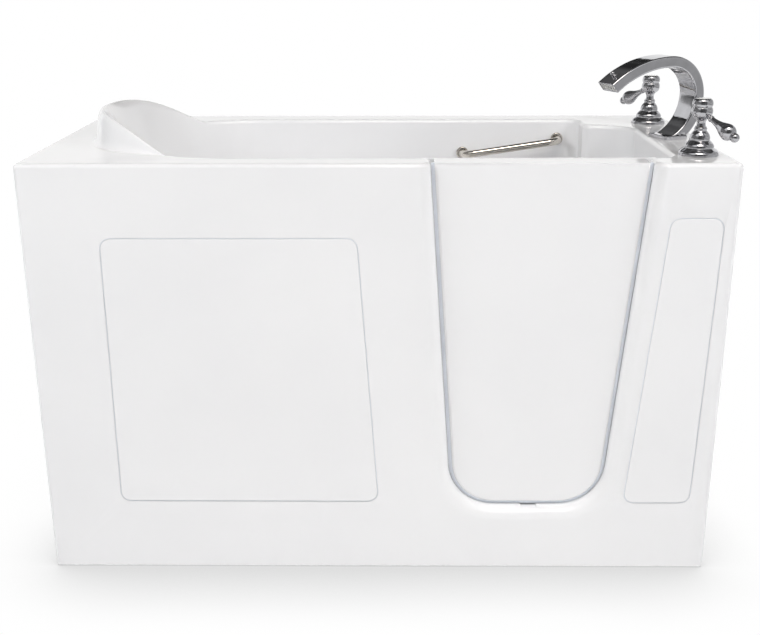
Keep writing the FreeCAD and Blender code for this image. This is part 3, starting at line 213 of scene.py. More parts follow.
def laminate_finish():
    """Chopped strands of glass in cloudy resin."""
    material, tree, shader, where = new_finish("bare_laminate", (0.62, 0.61, 0.54), 0.55)
    strands = None
    for angle in STRAND_TURNS:
        lie = (angle, angle * 1.7 + 0.3, angle * 0.6)
        run = stretched(tree, where, STRAND_STRETCH, lie)
        line = grey_ramp(tree, noise(tree, run, 1.0, 1.0), 0.58, 0.66, 0.0, 1.0)
        if strands is None:
            strands = line
            continue
        both = tree.nodes.new("ShaderNodeMath")
        both.operation = "MAXIMUM"
        tree.links.new(strands, both.inputs[0])
        tree.links.new(line, both.inputs[1])
        strands = both.outputs["Value"]
    tint = ramp(tree, strands, 0.0, 1.0, (0.66, 0.65, 0.58), (0.80, 0.79, 0.73))
    tree.links.new(tint, shader.inputs["Base Color"])
    patch = noise(tree, where, 14.0, 4.0)
    tree.links.new(grey_ramp(tree, patch, 0.3, 0.7, 0.38, 0.68), shader.inputs["Roughness"])
    lumps = bump(tree, shader, noise(tree, where, 24.0, 3.0), 0.5, 0.004)
    bump(tree, shader, strands, 0.45, 0.0006, under=lumps)
    return material


laminate = laminate_finish()
print("finish", laminate.name)

# %% [markdown]
# ## Polished metal
# The taps are chrome plate over brass: a mirror with hair-fine wipe marks. The grab bar is polished tube, a
# touch warmer, with marks that run round it. The two differ only in colour, roughness and the direction of
# the grain, so one function makes both.

# %% Polished metal


def polished_finish(name, color, dull, grain_scale, grain_strength):
    """A mirror metal with fine marks and a faint cloud of fingerprints in its roughness."""
    material, tree, shader, where = new_finish(name, color, dull, 1.0)
    marks = noise(tree, stretched(tree, where, grain_scale), 1.0, 3.0)
    cloud = noise(tree, where, 45.0, 3.0)
    sheen = grey_ramp(tree, cloud, 0.35, 0.75, dull * 0.7, dull * 1.7)
    tree.links.new(sheen, shader.inputs["Roughness"])
    paler = tuple(min(1.0, part * 1.06) for part in color)
    deeper = tuple(part * 0.94 for part in color)
    tree.links.new(ramp(tree, cloud, 0.3, 0.7, deeper, paler), shader.inputs["Base Color"])
    bump(tree, shader, marks, grain_strength, 0.0001)
    return material


chrome = polished_finish("chrome_plate", (0.50, 0.50, 0.52), 0.05, (60.0, 60.0, 900.0), 0.02)
bar_polish = polished_finish("polished_tube", (0.74, 0.70, 0.64), 0.07, (900.0, 60.0, 60.0), 0.04)
print("finishes", chrome.name, bar_polish.name)

# %% [markdown]
# ## Brushed metal
# The hinges and latch are brushed stainless steel, the feet are zinc plated, the valves are machined brass
# and their tubes are drawn copper. The grain breaks up what the metal reflects, so the same noise drives the
# colour, the roughness and the bump.

# %% Brushed metal


def brushed_finish(name, color, dull, grain_scale, grain_strength):
    """A metal whose grain runs one way and breaks up its reflections."""
    material, tree, shader, where = new_finish(name, color, dull, 1.0)
    grain = noise(tree, stretched(tree, where, grain_scale), 1.0, 4.0, 0.7)
    tree.links.new(grey_ramp(tree, grain, 0.3, 0.7, dull * 0.75, dull * 1.35), shader.inputs["Roughness"])
    paler = tuple(min(1.0, part * 1.1) for part in color)
    deeper = tuple(part * 0.88 for part in color)
    tree.links.new(ramp(tree, grain, 0.35, 0.65, deeper, paler), shader.inputs["Base Color"])
    bump(tree, shader, grain, grain_strength, 0.0002)
    return material


stainless = brushed_finish("brushed_stainless", (0.60, 0.60, 0.61), 0.30, (12.0, 900.0, 900.0), 0.12)
zinc = brushed_finish("zinc_plate", (0.58, 0.59, 0.60), 0.34, (300.0, 300.0, 300.0), 0.08)
brass = brushed_finish("machined_brass", (0.62, 0.44, 0.18), 0.32, (80.0, 80.0, 1400.0), 0.10)
copper = brushed_finish("drawn_copper", (0.66, 0.34, 0.21), 0.30, (1200.0, 14.0, 1200.0), 0.08)
print("finishes", stainless.name, zinc.name, brass.name, copper.name)

# %% [markdown]
# ## Primed steel
# The frame is square steel tube under a coat of grey primer. To the shader a primer is paint and not metal:
# dull, with a sprayed grain, and a little darker where the coat is thin.

# %% Primed steel


def primed_steel_finish():
    """Grey primer on steel tube, with a sprayed grain and thin patches."""
    material, tree, shader, where = new_finish("primed_steel", (0.30, 0.31, 0.33), 0.5, 0.0)
    cloud = noise(tree, where, 11.0, 5.0)
    tint = ramp(tree, cloud, 0.3, 0.7, (0.27, 0.28, 0.30), (0.34, 0.35, 0.37))
    tree.links.new(tint, shader.inputs["Base Color"])
    tree.links.new(grey_ramp(tree, cloud, 0.3, 0.7, 0.42, 0.6), shader.inputs["Roughness"])
    bump(tree, shader, noise(tree, where, 900.0, 2.0), 0.15, 0.0003)
    return material


primed_steel = primed_steel_finish()
print("finish", primed_steel.name)

# %% [markdown]
# ## Plastics and rubber
# The waste pipes are moulded plastic with a dull skin, the studs are nylon, the buttons on the taps are
# glazed, and the feet and gaskets are moulded rubber. The door seal is soft silicone. All of them come out
# of a mould, so one function gives them slight clouds of colour and a fine grain.

# %% Plastics and rubber


def moulded_finish(name, color, dull, speckle, depth):
    """A moulded skin: slight clouds of colour, a fine grain and a soft sheen."""
    material, tree, shader, where = new_finish(name, color, dull)
    cloud = noise(tree, where, 18.0, 4.0)
    paler = tuple(min(1.0, part * 1.05 + 0.004) for part in color)
    deeper = tuple(part * 0.94 for part in color)
    tree.links.new(ramp(tree, cloud, 0.3, 0.7, deeper, paler), shader.inputs["Base Color"])
    tree.links.new(grey_ramp(tree, cloud, 0.3, 0.7, dull * 0.85, dull * 1.2), shader.inputs["Roughness"])
    bump(tree, shader, noise(tree, where, speckle, 2.0), depth, 0.0003)
    return material


waste_plastic = moulded_finish("waste_plastic", (0.78, 0.78, 0.75), 0.38, 500.0, 0.06)
nylon = moulded_finish("moulded_nylon", (0.70, 0.70, 0.67), 0.42, 700.0, 0.08)
glazed = moulded_finish("glazed_button", (0.80, 0.80, 0.79), 0.10, 250.0, 0.01)
black_rubber = moulded_finish("black_rubber", (0.035, 0.035, 0.036), 0.62, 1200.0, 0.2)
silicone = moulded_finish("silicone_seal", (0.80, 0.84, 0.90), 0.36, 600.0, 0.05)
print("finishes", waste_plastic.name, nylon.name, glazed.name, black_rubber.name, silicone.name)

# %% [markdown]
# ## Wood
# The boards inside the door are sealed hardwood, with the grain running up the door. Grain is noise that is
# stretched along one direction, as the strands of the laminate are.

# %% Wood


def board_finish():
    """Straight-grained hardwood, with the grain up the door."""
    material, tree, shader, where = new_finish("sealed_board", (0.48, 0.32, 0.17), 0.45)
    grain = noise(tree, stretched(tree, where, (90.0, 90.0, 4.0)), 1.0, 5.0, 0.6)
    tint = ramp(tree, grain, 0.3, 0.72, (0.36, 0.22, 0.11), (0.60, 0.43, 0.25))
    tree.links.new(tint, shader.inputs["Base Color"])
    tree.links.new(grey_ramp(tree, grain, 0.3, 0.7, 0.38, 0.55), shader.inputs["Roughness"])
    bump(tree, shader, grain, 0.2, 0.0004)
    return material


board = board_finish()
print("finish", board.name)

# %% [markdown]
# ## Hands for the workshop
# Operators act on whatever is selected, so each step first picks its one piece. A piece is shaded smooth up
# to a chosen angle and gets weighted normals, so that a broad flat stays flat right up to the small round at
# its edge. A modifier is applied at once, so that the mesh is always the finished shape.

# %% Picking, smoothing and finishing a piece
FLAT_WEIGHT = 80


def pick(piece):
    """Leave one piece selected and active."""
    bpy.ops.object.select_all(action="DESELECT")
    piece.select_set(True)
    bpy.context.view_layer.objects.active = piece


def apply_modifier(piece, kind, **settings):
    """Add one modifier, set it and apply it to the mesh."""
    pick(piece)
    modifier = piece.modifiers.new(kind.lower(), kind)
    for name, value in settings.items():
        setattr(modifier, name, value)
    bpy.ops.object.modifier_apply(modifier=modifier.name)


def smooth(piece, angle):
    """Shade a piece smooth where its faces meet at less than the angle."""
    pick(piece)
    bpy.ops.object.shade_smooth_by_angle(angle=radians(angle))
    apply_modifier(piece, "WEIGHTED_NORMAL", keep_sharp=True, weight=FLAT_WEIGHT)


def finish_with(piece, *finishes):
    """Give a piece its material slots."""
    piece.data.materials.clear()
    for finish in finishes:
        piece.data.materials.append(finish)


for helper in (pick, apply_modifier, smooth, finish_with):
    print(helper.__name__ + ":", helper.__doc__)

# %% [markdown]
# ## A skin for a node
# Each CAD node has the right shape, but its mesh is loose triangles. A copy has its doubles merged, is
# smoothed and gets its finish, and it then rides with the node's body and stands for the node. The node's
# own mesh is left alone.

# %% A skin for a node
MERGE = 0.00001
SMOOTH_ANGLE = 32.0


def place_on(piece, node, replace=False):
    """Let a piece ride with a node's body, and hide the node when the piece replaces it."""
    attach(piece, BODY_OF[node])
    if replace:
        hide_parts(node)


def skin(node, finish):
    """A smooth copy of a CAD node that stands for it."""
    piece = bpy.data.objects.new(node + "_skin", frame["nodes"][node].data.copy())
    scene.collection.objects.link(piece)
    pick(piece)
    bpy.ops.object.mode_set(mode="EDIT")
    bpy.ops.mesh.select_all(action="SELECT")
    bpy.ops.mesh.remove_doubles(threshold=MERGE)
    bpy.ops.object.mode_set(mode="OBJECT")
    smooth(piece, SMOOTH_ANGLE)
    finish_with(piece, finish)
    place_on(piece, node, replace=True)
    return piece


for helper in (place_on, skin):
    print(helper.__name__ + ":", helper.__doc__)

# %% [markdown]
# ## Dressing the nodes
# The finish is chosen by the record's material slot, so that a node always takes the finish it was recorded
# with. A finish could be typed beside the name of every node instead, but the table of slots is shorter.

# %% Skin every node
FINISH_OF = {
    "acrylic": gel_coat,
    "board": board,
    "seal": silicone,
    "stainless": stainless,
    "polished_steel": bar_polish,
    "chrome": chrome,
    "porcelain": glazed,
    "brass": brass,
    "copper": copper,
    "nylon": nylon,
    "gasket_rubber": black_rubber,
    "waste_plastic": waste_plastic,
    "frame_steel": primed_steel,
    "zinc": zinc,
}
skins = {node: skin(node, FINISH_OF[slot]) for node, slot in SLOT_OF.items()}
print("skins", len(skins), "triangles", sum(len(piece.data.polygons) for piece in skins.values()))

# %% [markdown]
# ## Bare fibre on the dry side
# Gel coat is only sprayed where it will be seen and washed. Behind it the moulding shows its glass fibre.
# The two sides are one mesh, so its faces have to be sorted. A face on the dry side always has some of the
# moulding above it, while the wet side looks up at the open sky: one ray cast upwards from each face tells
# which it is. The front apron is simpler, because its back looks backwards.

# %% Laminate on the dry side
OFF_FACE = 0.0005
UP = Vector((0.0, 0.0, 1.0))
BACKWARD = 0.5
LAMINATE_SLOT = 1


def under_cover(piece, face):
    """True where the moulding itself is above a face."""
    return piece.ray_cast(face.center + face.normal * OFF_FACE, UP)[0]


def back_with_laminate(piece, is_dry):
    """Give the dry faces of a moulding the second finish."""
    bpy.context.view_layer.update()
    piece.data.materials.append(laminate)
    dry = [face for face in piece.data.polygons if is_dry(piece, face)]
    for face in dry:
        face.material_index = LAMINATE_SLOT
    print(piece.name, "dry faces", len(dry), "of", len(piece.data.polygons))


back_with_laminate(skins["basin_shell"], under_cover)
back_with_laminate(skins["front_apron"], lambda piece, face: face.normal.y > BACKWARD)

# %% [markdown]
# ## Soft strips in the seams
# The door stands in its frame with a finger's width of room all round, and a pale silicone fin on its edge
# closes that room just behind the face. The access panels are sealed into the front the same way, with a
# thin bead of sealant. Both follow the edge of a piece that is already there, so a copy of that piece is cut
# down to a narrow band of its side by two bisecting planes, and Solidify thickens the band outwards.

# %% Cutting a band from a piece


def keep_between(piece, near, far):
    """Cut away what lies in front of one plane and behind another, along Y."""
    pick(piece)
    bpy.ops.object.mode_set(mode="EDIT")
    for depth, way in ((near, -1.0), (far, 1.0)):
        bpy.ops.mesh.select_all(action="SELECT")
        bpy.ops.mesh.bisect(plane_co=(0.0, depth, 0.0), plane_no=(0.0, way, 0.0), clear_outer=True)
    bpy.ops.object.mode_set(mode="OBJECT")


def delete_faces(piece, test):
    """Delete the faces that pass a test."""
    pick(piece)
    bpy.ops.object.mode_set(mode="EDIT")
    bpy.ops.mesh.select_mode(type="FACE")
    bpy.ops.mesh.select_all(action="DESELECT")
    bpy.ops.object.mode_set(mode="OBJECT")
    for face in piece.data.polygons:
        face.select = test(face)
    bpy.ops.object.mode_set(mode="EDIT")
    bpy.ops.mesh.delete(type="FACE")
    bpy.ops.object.mode_set(mode="OBJECT")


for helper in (keep_between, delete_faces):
    print(helper.__name__ + ":", helper.__doc__)

# %% [markdown]
# ## A strip round an edge
# What the two planes leave still has an inner wall and cut faces, and on the door a top. Their normals tell
# them apart, and they are deleted, so that only the outer side is left for Solidify.

# %% A strip round an edge
FACING_UP = 0.7


def middle_of(node):
    """The lowest corner, the middle and the highest corner of a node's box."""
    low, high = (Vector(corner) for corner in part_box(node))
    return low, (low + high) / 2, high


def edge_strip(name, node, near, far, width, open_top=False):
    """A soft strip on the side of a flat piece, between two depths behind the piece's face."""
    low, centre, high = middle_of(node)
    strip = bpy.data.objects.new(name, skins[node].data.copy())
    scene.collection.objects.link(strip)
    keep_between(strip, low.y + near, low.y + far)

    def unwanted(face):
        """True for the inner wall, for the cut faces and, if asked, for the top."""
        inward = face.normal.dot(face.center - centre) <= 0.0
        return inward or abs(face.normal.y) > BACKWARD or (open_top and face.normal.z > FACING_UP)

    delete_faces(strip, unwanted)
    apply_modifier(strip, "SOLIDIFY", thickness=width, offset=1.0, use_even_offset=True)
    smooth(strip, SMOOTH_ANGLE)
    finish_with(strip, silicone)
    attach(strip, BODY_OF[node])
    print(name, "faces", len(strip.data.polygons))
    return strip


for helper in (middle_of, edge_strip):
    print(helper.__name__ + ":", helper.__doc__)

# %% [markdown]
# ## The fin and the beads
# The fin sits behind the round of the door's edge and stops just short of the frame. It runs down one side,
# along the bottom and up the other side, and the top stays open. The beads fill the two millimetres round
# each panel, a little below the surface, so that the panel still shows its line.

# %% Strips on the door and the panels
FIN_DEPTHS = (0.0085, 0.0125)
FIN_WIDTH = 0.0072
BEAD_DEPTHS = (0.0016, 0.0046)
BEAD_WIDTH = 0.0019

edge_strip("door_edge_fin", "door_outer_skin", *FIN_DEPTHS, FIN_WIDTH, open_top=True)
for node in ("left_access_panel", "right_access_panel"):
    edge_strip(node + "_bead", node, *BEAD_DEPTHS, BEAD_WIDTH)

# %% [markdown]
# ## Screws
# The hinges, the latch and the overflow plate are held by button-head screws. One head is modelled: a short
# cylinder, its rim rounded by a bevel, and a six-sided socket cut from its top by a boolean.

# %% The screw head pattern
SCREW_SIDES = 28
SOCKET_SIDES = 6
RIM_SHARE = 0.55
RIM_STEPS = 4
SCREW_SMOOTH = 40.0


def screw_pattern(radius, height, socket):
    """One button head that stands on the origin and points up."""
    bpy.ops.object.select_all(action="DESELECT")
    bpy.ops.mesh.primitive_cylinder_add(
        vertices=SCREW_SIDES, radius=radius, depth=height, location=(0.0, 0.0, height / 2))
    head = bpy.context.object
    bpy.ops.object.transform_apply(location=True)
    apply_modifier(head, "BEVEL", width=height * RIM_SHARE, segments=RIM_STEPS, limit_method="ANGLE")
    bpy.ops.object.select_all(action="DESELECT")
    bpy.ops.mesh.primitive_cylinder_add(
        vertices=SOCKET_SIDES, radius=socket, depth=height, location=(0.0, 0.0, height))
    cutter = bpy.context.object
    apply_modifier(head, "BOOLEAN", operation="DIFFERENCE", solver="EXACT", object=cutter)
    bpy.data.objects.remove(cutter)
    smooth(head, SCREW_SMOOTH)
    return head


print("screw_pattern:", screw_pattern.__doc__)

# %% [markdown]
# ## Planting a pattern
# A head has to sit on its plate, neither floating nor sunk. A ray cast towards the plate finds the place and
# the way that the surface faces there, and a copy of the pattern is turned to match. All the copies on a
# plate are joined into one piece that rides with it.

# %% Planting a pattern


def seat_on(node, start, direction):
    """The point where a line meets a piece, with the way its surface faces there."""
    place, normal = skins[node].ray_cast(Vector(start), direction)[1:3]
    return place, normal


def joined(name, pieces):
    """Several meshes made into one piece."""
    bpy.ops.object.select_all(action="DESELECT")
    for piece in pieces:
        piece.select_set(True)
    bpy.context.view_layer.objects.active = pieces[0]
    bpy.ops.object.join()
    whole = bpy.context.object
    whole.name = name
    return whole


def planted(name, pattern, spots, node, finish):
    """Copies of a pattern, each turned to its own spot, as one piece that rides with a node."""
    copies = []
    for place, normal in spots:
        copy = bpy.data.objects.new(name, pattern.data.copy())
        scene.collection.objects.link(copy)
        turn = UP.rotation_difference(normal).to_matrix().to_4x4()
        copy.data.transform(Matrix.Translation(place) @ turn)
        copies.append(copy)
    piece = joined(name, copies)
    finish_with(piece, finish)
    place_on(piece, node)
    bpy.data.objects.remove(pattern)
    print(name, len(spots))
    return piece


for helper in (seat_on, joined, planted):
    print(helper.__name__ + ":", helper.__doc__)

# %% [markdown]
# ## Separate solids in one node
# A node such as the pair of hinge arms is one mesh with several solids in it. Corners that share an edge
# belong together, so they are gathered into groups, and the box of each group is kept. Separating the mesh
# by loose parts would find the same groups, but it would break the piece up.

# %% Separate solids in one node


def islands(node):
    """The lowest and highest corner of each separate solid in a node."""
    mesh = skins[node].data
    parent = list(range(len(mesh.vertices)))

    def root(index):
        while parent[index] != index:
            parent[index] = parent[parent[index]]
            index = parent[index]
        return index

    for edge in mesh.edges:
        parent[root(edge.vertices[0])] = root(edge.vertices[1])
    groups = {}
    for vertex in mesh.vertices:
        groups.setdefault(root(vertex.index), []).append(vertex.co)
    boxes = []
    for corners in groups.values():
        low = Vector([min(corner[axis] for corner in corners) for axis in range(3)])
        high = Vector([max(corner[axis] for corner in corners) for axis in range(3)])
        boxes.append((low, high))
    return sorted(boxes, key=lambda pair: tuple(round(part, 4) for part in pair[0]))


print("hinge arms", len(islands("hinge_arms")))

# %% [markdown]
# ## Screws on the hinges
# Each hinge has an arm on the door and a bracket on the frame, and each of those takes four screws. The
# columns are measured from the edge of the plate, the rows from its middle, and a ray towards the plate
# finds how deep each screw sits.

# %% Screws on the hinges
RAY_START = 0.05
X_AXIS = Vector((1.0, 0.0, 0.0))
Y_AXIS = Vector((0.0, 1.0, 0.0))
HINGE_SCREW = (0.0045, 0.0026, 0.0021)
SCREW_PITCH = 0.009
PLATE_COLUMNS = (0.014, 0.040)
BRACKET_COLUMNS = (0.010, 0.028)

arm_spots = []
for low, high in islands("hinge_arms"):
    middle = (low.z + high.z) / 2
    for across in PLATE_COLUMNS:
        for rise in (-SCREW_PITCH, SCREW_PITCH):
            start = (low.x + across, high.y + RAY_START, middle + rise)
            arm_spots.append(seat_on("hinge_arms", start, -Y_AXIS))
planted("hinge_arm_screws", screw_pattern(*HINGE_SCREW), arm_spots, "hinge_arms", stainless)

bracket_spots = []
for low, high in islands("hinge_brackets"):
    middle = (low.z + high.z) / 2
    for back in BRACKET_COLUMNS:
        for rise in (-SCREW_PITCH, SCREW_PITCH):
            start = (low.x - RAY_START, high.y - back, middle + rise)
            bracket_spots.append(seat_on("hinge_brackets", start, X_AXIS))
planted("hinge_bracket_screws", screw_pattern(*HINGE_SCREW), bracket_spots, "hinge_brackets", stainless)

# %% [markdown]
# ## Screws on the latch and the overflow plate
# The latch's rose, its keeper and the overflow plate each take two smaller screws, one on either side of
# the middle. The same pattern is made again at each size, which costs less than scaling copies.

# %% Screws on the latch and the overflow plate
ROSE_SCREW = (0.0026, 0.0016, 0.0013)
ROSE_SCREW_OUT = 0.0131
KEEPER_SCREW = (0.0036, 0.0022, 0.0017)
KEEPER_SCREW_IN = 0.012
KEEPER_SCREW_RISE = 0.010
OVERFLOW_SCREW = (0.0042, 0.0022, 0.0019)
OVERFLOW_SCREW_OUT = 0.021
SIDES = (-1.0, 1.0)

low, middle, high = middle_of("latch_plate")
starts = [(middle.x + side * ROSE_SCREW_OUT, high.y + RAY_START, middle.z + side * ROSE_SCREW_OUT)
          for side in SIDES]
spots = [seat_on("latch_plate", start, -Y_AXIS) for start in starts]
planted("latch_rose_screws", screw_pattern(*ROSE_SCREW), spots, "latch_plate", stainless)

low, middle, high = middle_of("latch_keeper")
starts = [(low.x + KEEPER_SCREW_IN, high.y + RAY_START, middle.z + side * KEEPER_SCREW_RISE)
          for side in SIDES]
spots = [seat_on("latch_keeper", start, -Y_AXIS) for start in starts]
planted("keeper_screws", screw_pattern(*KEEPER_SCREW), spots, "latch_keeper", stainless)

low, middle, high = middle_of("overflow_plate")
starts = [(low.x - RAY_START, middle.y + side * OVERFLOW_SCREW_OUT, middle.z) for side in SIDES]
spots = [seat_on("overflow_plate", start, X_AXIS) for start in starts]
planted("overflow_screws", screw_pattern(*OVERFLOW_SCREW), spots, "overflow_plate", chrome)

# %% [markdown]
# ## Threads
# The levelling feet and the valve inlets are cut with threads. A thread is a small triangle carried round
# and up at the same time, which is what the Screw modifier does. Its foot sinks a little into the rod, so
# that no gap shows under it.

# %% The thread pattern
TURN_STEPS = 18
ROOT_SINK = 0.0002
TOOTH_HALF = 0.44


def thread(low, high, centre, root, crest, pitch):
    """A ridge that winds up a rod from one height to another."""
    bpy.ops.object.select_all(action="DESELECT")
    bpy.ops.mesh.primitive_circle_add(vertices=3, radius=pitch)
    ridge = bpy.context.object
    half = pitch * TOOTH_HALF
    tooth = ((root - ROOT_SINK, -half), (crest, 0.0), (root - ROOT_SINK, half))
    for vertex, (out, rise) in zip(ridge.data.vertices, tooth):
        vertex.co = (out, 0.0, rise)
    turns = int((high - low) / pitch)
    apply_modifier(ridge, "SCREW", angle=2 * pi, screw_offset=pitch, iterations=turns,
                   steps=TURN_STEPS, render_steps=TURN_STEPS, use_smooth_shade=False)
    bpy.ops.object.mode_set(mode="EDIT")
    bpy.ops.mesh.select_all(action="SELECT")
    bpy.ops.mesh.remove_doubles(threshold=MERGE)
    bpy.ops.mesh.fill_holes(sides=3)
    bpy.ops.mesh.normals_make_consistent(inside=False)
    bpy.ops.object.mode_set(mode="OBJECT")
    ridge.data.transform(Matrix.Translation((centre[0], centre[1], low)))
    return ridge


print("thread:", thread.__doc__)

# %% [markdown]
# ## Threads on the feet
# A stud is made anew, with a thinner core, so that the crests come out at the real diameter, and it stands
# for its node. The thread starts one turn above the end of the stud and stops under the nut.

# %% Threads on the feet
THREAD_SMOOTH = 50.0
STUD_PITCH = 0.00175
STUD_DEPTH = 0.0007
STUD_SIDES = 28


def small_work(name, pieces, finish):
    """Small meshes joined, smoothed and finished as one piece."""
    whole = joined(name, pieces)
    smooth(whole, THREAD_SMOOTH)
    finish_with(whole, finish)
    return whole


stud_pieces = []
stud_boxes = islands("foot_studs")
nut_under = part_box("foot_nuts")[0][2]
for low, high in stud_boxes:
    centre = (low + high) / 2
    crest = (high.x - low.x) / 2
    bpy.ops.object.select_all(action="DESELECT")
    bpy.ops.mesh.primitive_cylinder_add(
        vertices=STUD_SIDES, radius=crest - STUD_DEPTH, depth=high.z - low.z, location=centre)
    core = bpy.context.object
    bpy.ops.object.transform_apply(location=True)
    apply_modifier(core, "BEVEL", width=STUD_DEPTH, segments=2, limit_method="ANGLE")
    stud_pieces.append(core)
    ridge_low = low.z + STUD_PITCH
    stud_pieces.append(thread(ridge_low, nut_under, centre, crest - STUD_DEPTH, crest, STUD_PITCH))
studs = small_work("foot_stud_threads", stud_pieces, zinc)
place_on(studs, "foot_studs", replace=True)
bpy.data.objects.remove(skins.pop("foot_studs"))
print("threads on studs", len(stud_boxes))

# %% [markdown]
# ## Threads on the inlets
# An inlet keeps its metal and gets a shallow thread on top. A ray from the side finds its radius.

# %% Threads on the inlets
INLET_PITCH = 0.0018
INLET_DEPTH = 0.0005
INLET_LENGTH = 0.020
inlet_pieces = []
for node in ("hot_valve", "cold_valve"):
    low, centre, high = middle_of(node)
    side = seat_on(node, (high.x + RAY_START, centre.y, low.z + INLET_LENGTH / 2), -X_AXIS)[0]
    root = side.x - centre.x
    ridge_low = low.z + INLET_PITCH
    inlet_pieces.append(
        thread(ridge_low, low.z + INLET_LENGTH, centre, root, root + INLET_DEPTH, INLET_PITCH))
inlets = small_work("valve_inlet_threads", inlet_pieces, brass)
place_on(inlets, "hot_valve")
print("threads on inlets", len(inlet_pieces))

# %% [markdown]
# ## A weld bead
# The steel tubes of the frame are welded where they meet. A bead of weld is a row of small ripples, each
# laid half over the last, so it is one squashed ball repeated along the seam with an Array.

# %% A weld bead
WELD_R = 0.0032
WELD_STEP = 0.0019
WELD_FLAT = 0.6
WELD_SIDES = 8
WELD_RINGS = 5


def weld_bead(start, end):
    """A row of ripples between two points."""
    run = end - start
    bpy.ops.object.select_all(action="DESELECT")
    bpy.ops.mesh.primitive_uv_sphere_add(segments=WELD_SIDES, ring_count=WELD_RINGS, radius=WELD_R)
    bead = bpy.context.object
    bpy.ops.transform.resize(value=(WELD_FLAT, 1.0, 1.0))
    bpy.ops.object.transform_apply(scale=True)
    apply_modifier(bead, "ARRAY", count=int(run.length / WELD_STEP), use_relative_offset=False,
                   use_constant_offset=True, constant_offset_displace=(WELD_STEP, 0.0, 0.0))
    turn = X_AXIS.rotation_difference(run.normalized()).to_matrix().to_4x4()
    bead.data.transform(Matrix.Translation(start) @ turn)
    return bead


print("weld_bead:", weld_bead.__doc__)

# %% [markdown]
# ## Welds on the frame
# The seams are found from the boxes of the tubes themselves, and sides that lie flush with the end of a rail
# get none, because there the two faces are one.

# %% Welds on the frame
WELD_SHORT = 0.002
FLUSH = 0.004
rail_low, _, rail_high = middle_of("front_base_rail")


def at_rail_end(x):
    """True where a side lies flush with the end of the base rails."""
    return min(abs(x - rail_low.x), abs(x - rail_high.x)) < FLUSH


seams = []
for low, high in islands("base_cross_rails"):
    for x in (low.x, high.x):
        if at_rail_end(x):
            continue
        for y in (low.y, high.y):
            seams.append(((x, y, low.z + WELD_SHORT), (x, y, high.z - WELD_SHORT)))
for low, high in islands("corner_posts") + islands("seat_posts"):
    for x in (low.x, high.x):
        if not at_rail_end(x):
            seams.append(((x, low.y + WELD_SHORT, low.z), (x, high.y - WELD_SHORT, low.z)))
for low, high in islands("seat_posts"):
    inner = min(low.y, high.y, key=abs)
    seams.append(((low.x + WELD_SHORT, inner, high.z), (high.x - WELD_SHORT, inner, high.z)))
beads = [weld_bead(Vector(start), Vector(end)) for start, end in seams]
welds = small_work("frame_welds", beads, primed_steel)
place_on(welds, "corner_posts")
print("weld beads", len(seams))

# %% [markdown]
# ## The studio floor
# A plain pale floor runs to a white background. The floor answers the camera with white, less the soft
# shade that gathers where the tub stands on it, and for all other light it is plain pale paint.

# %% Floor
FLOOR_SIZE = 30.0
SHADE_REACH = 0.30


def seen_directly(tree):
    """One for rays from the camera, from mirrors and through glass, and zero for the rest."""
    path = tree.nodes.new("ShaderNodeLightPath")
    total = path.outputs["Is Camera Ray"]
    for name in ("Is Glossy Ray", "Is Transmission Ray"):
        both = tree.nodes.new("ShaderNodeMath")
        both.operation = "MAXIMUM"
        tree.links.new(total, both.inputs[0])
        tree.links.new(path.outputs[name], both.inputs[1])
        total = both.outputs["Value"]
    return total


def floor_finish():
    """White for the camera, less the shade near the tub, and pale paint for the light."""
    material = bpy.data.materials.new("studio_floor")
    material.use_nodes = True
    tree = material.node_tree
    tree.nodes.clear()
    output = tree.nodes.new("ShaderNodeOutputMaterial")
    paint = tree.nodes.new("ShaderNodeBsdfDiffuse")
    paint.inputs["Color"].default_value = (0.86, 0.86, 0.86, 1.0)
    shade = tree.nodes.new("ShaderNodeAmbientOcclusion")
    shade.inputs["Distance"].default_value = SHADE_REACH
    glow = tree.nodes.new("ShaderNodeEmission")
    tree.links.new(grey_ramp(tree, shade.outputs["AO"], 0.35, 0.95, 0.62, 1.0), glow.inputs["Color"])
    choice = tree.nodes.new("ShaderNodeMixShader")
    tree.links.new(seen_directly(tree), choice.inputs["Fac"])
    tree.links.new(paint.outputs["BSDF"], choice.inputs[1])
    tree.links.new(glow.outputs["Emission"], choice.inputs[2])
    tree.links.new(choice.outputs["Shader"], output.inputs["Surface"])
    return material


bpy.ops.mesh.primitive_plane_add(size=FLOOR_SIZE)
floor = bpy.context.object
floor.name = "studio_floor"
finish_with(floor, floor_finish())
print("floor", floor.name, FLOOR_SIZE)

# %% [markdown]
# ## The background
# The sky does the same as the floor: white where it is looked at, and a weak even light for the rest.

# %% Background
AMBIENT = 0.16
world = bpy.data.worlds.new("studio_world")
world.use_nodes = True
sky = world.node_tree
strength = sky.nodes.new("ShaderNodeMapRange")
strength.inputs["To Min"].default_value = AMBIENT
strength.inputs["To Max"].default_value = 1.0
sky.links.new(seen_directly(sky), strength.inputs["Value"])
sky.nodes["Background"].inputs["Color"].default_value = (1.0, 1.0, 1.0, 1.0)
sky.links.new(strength.outputs["Result"], sky.nodes["Background"].inputs["Strength"])
scene.world = world
print("background", world.name, "even light", AMBIENT)

# %% [markdown]
# ## Cards for the mirrors
# Polished metal only looks like metal when it has something to show, so cards that only mirrors see stand
# round the picture: grey ones in front and at the left, a pale one at the right, and dark ones at the side,
# behind the camera, above and at the back.

# %% Cards
CLOTH_CLOUDS = 5.0


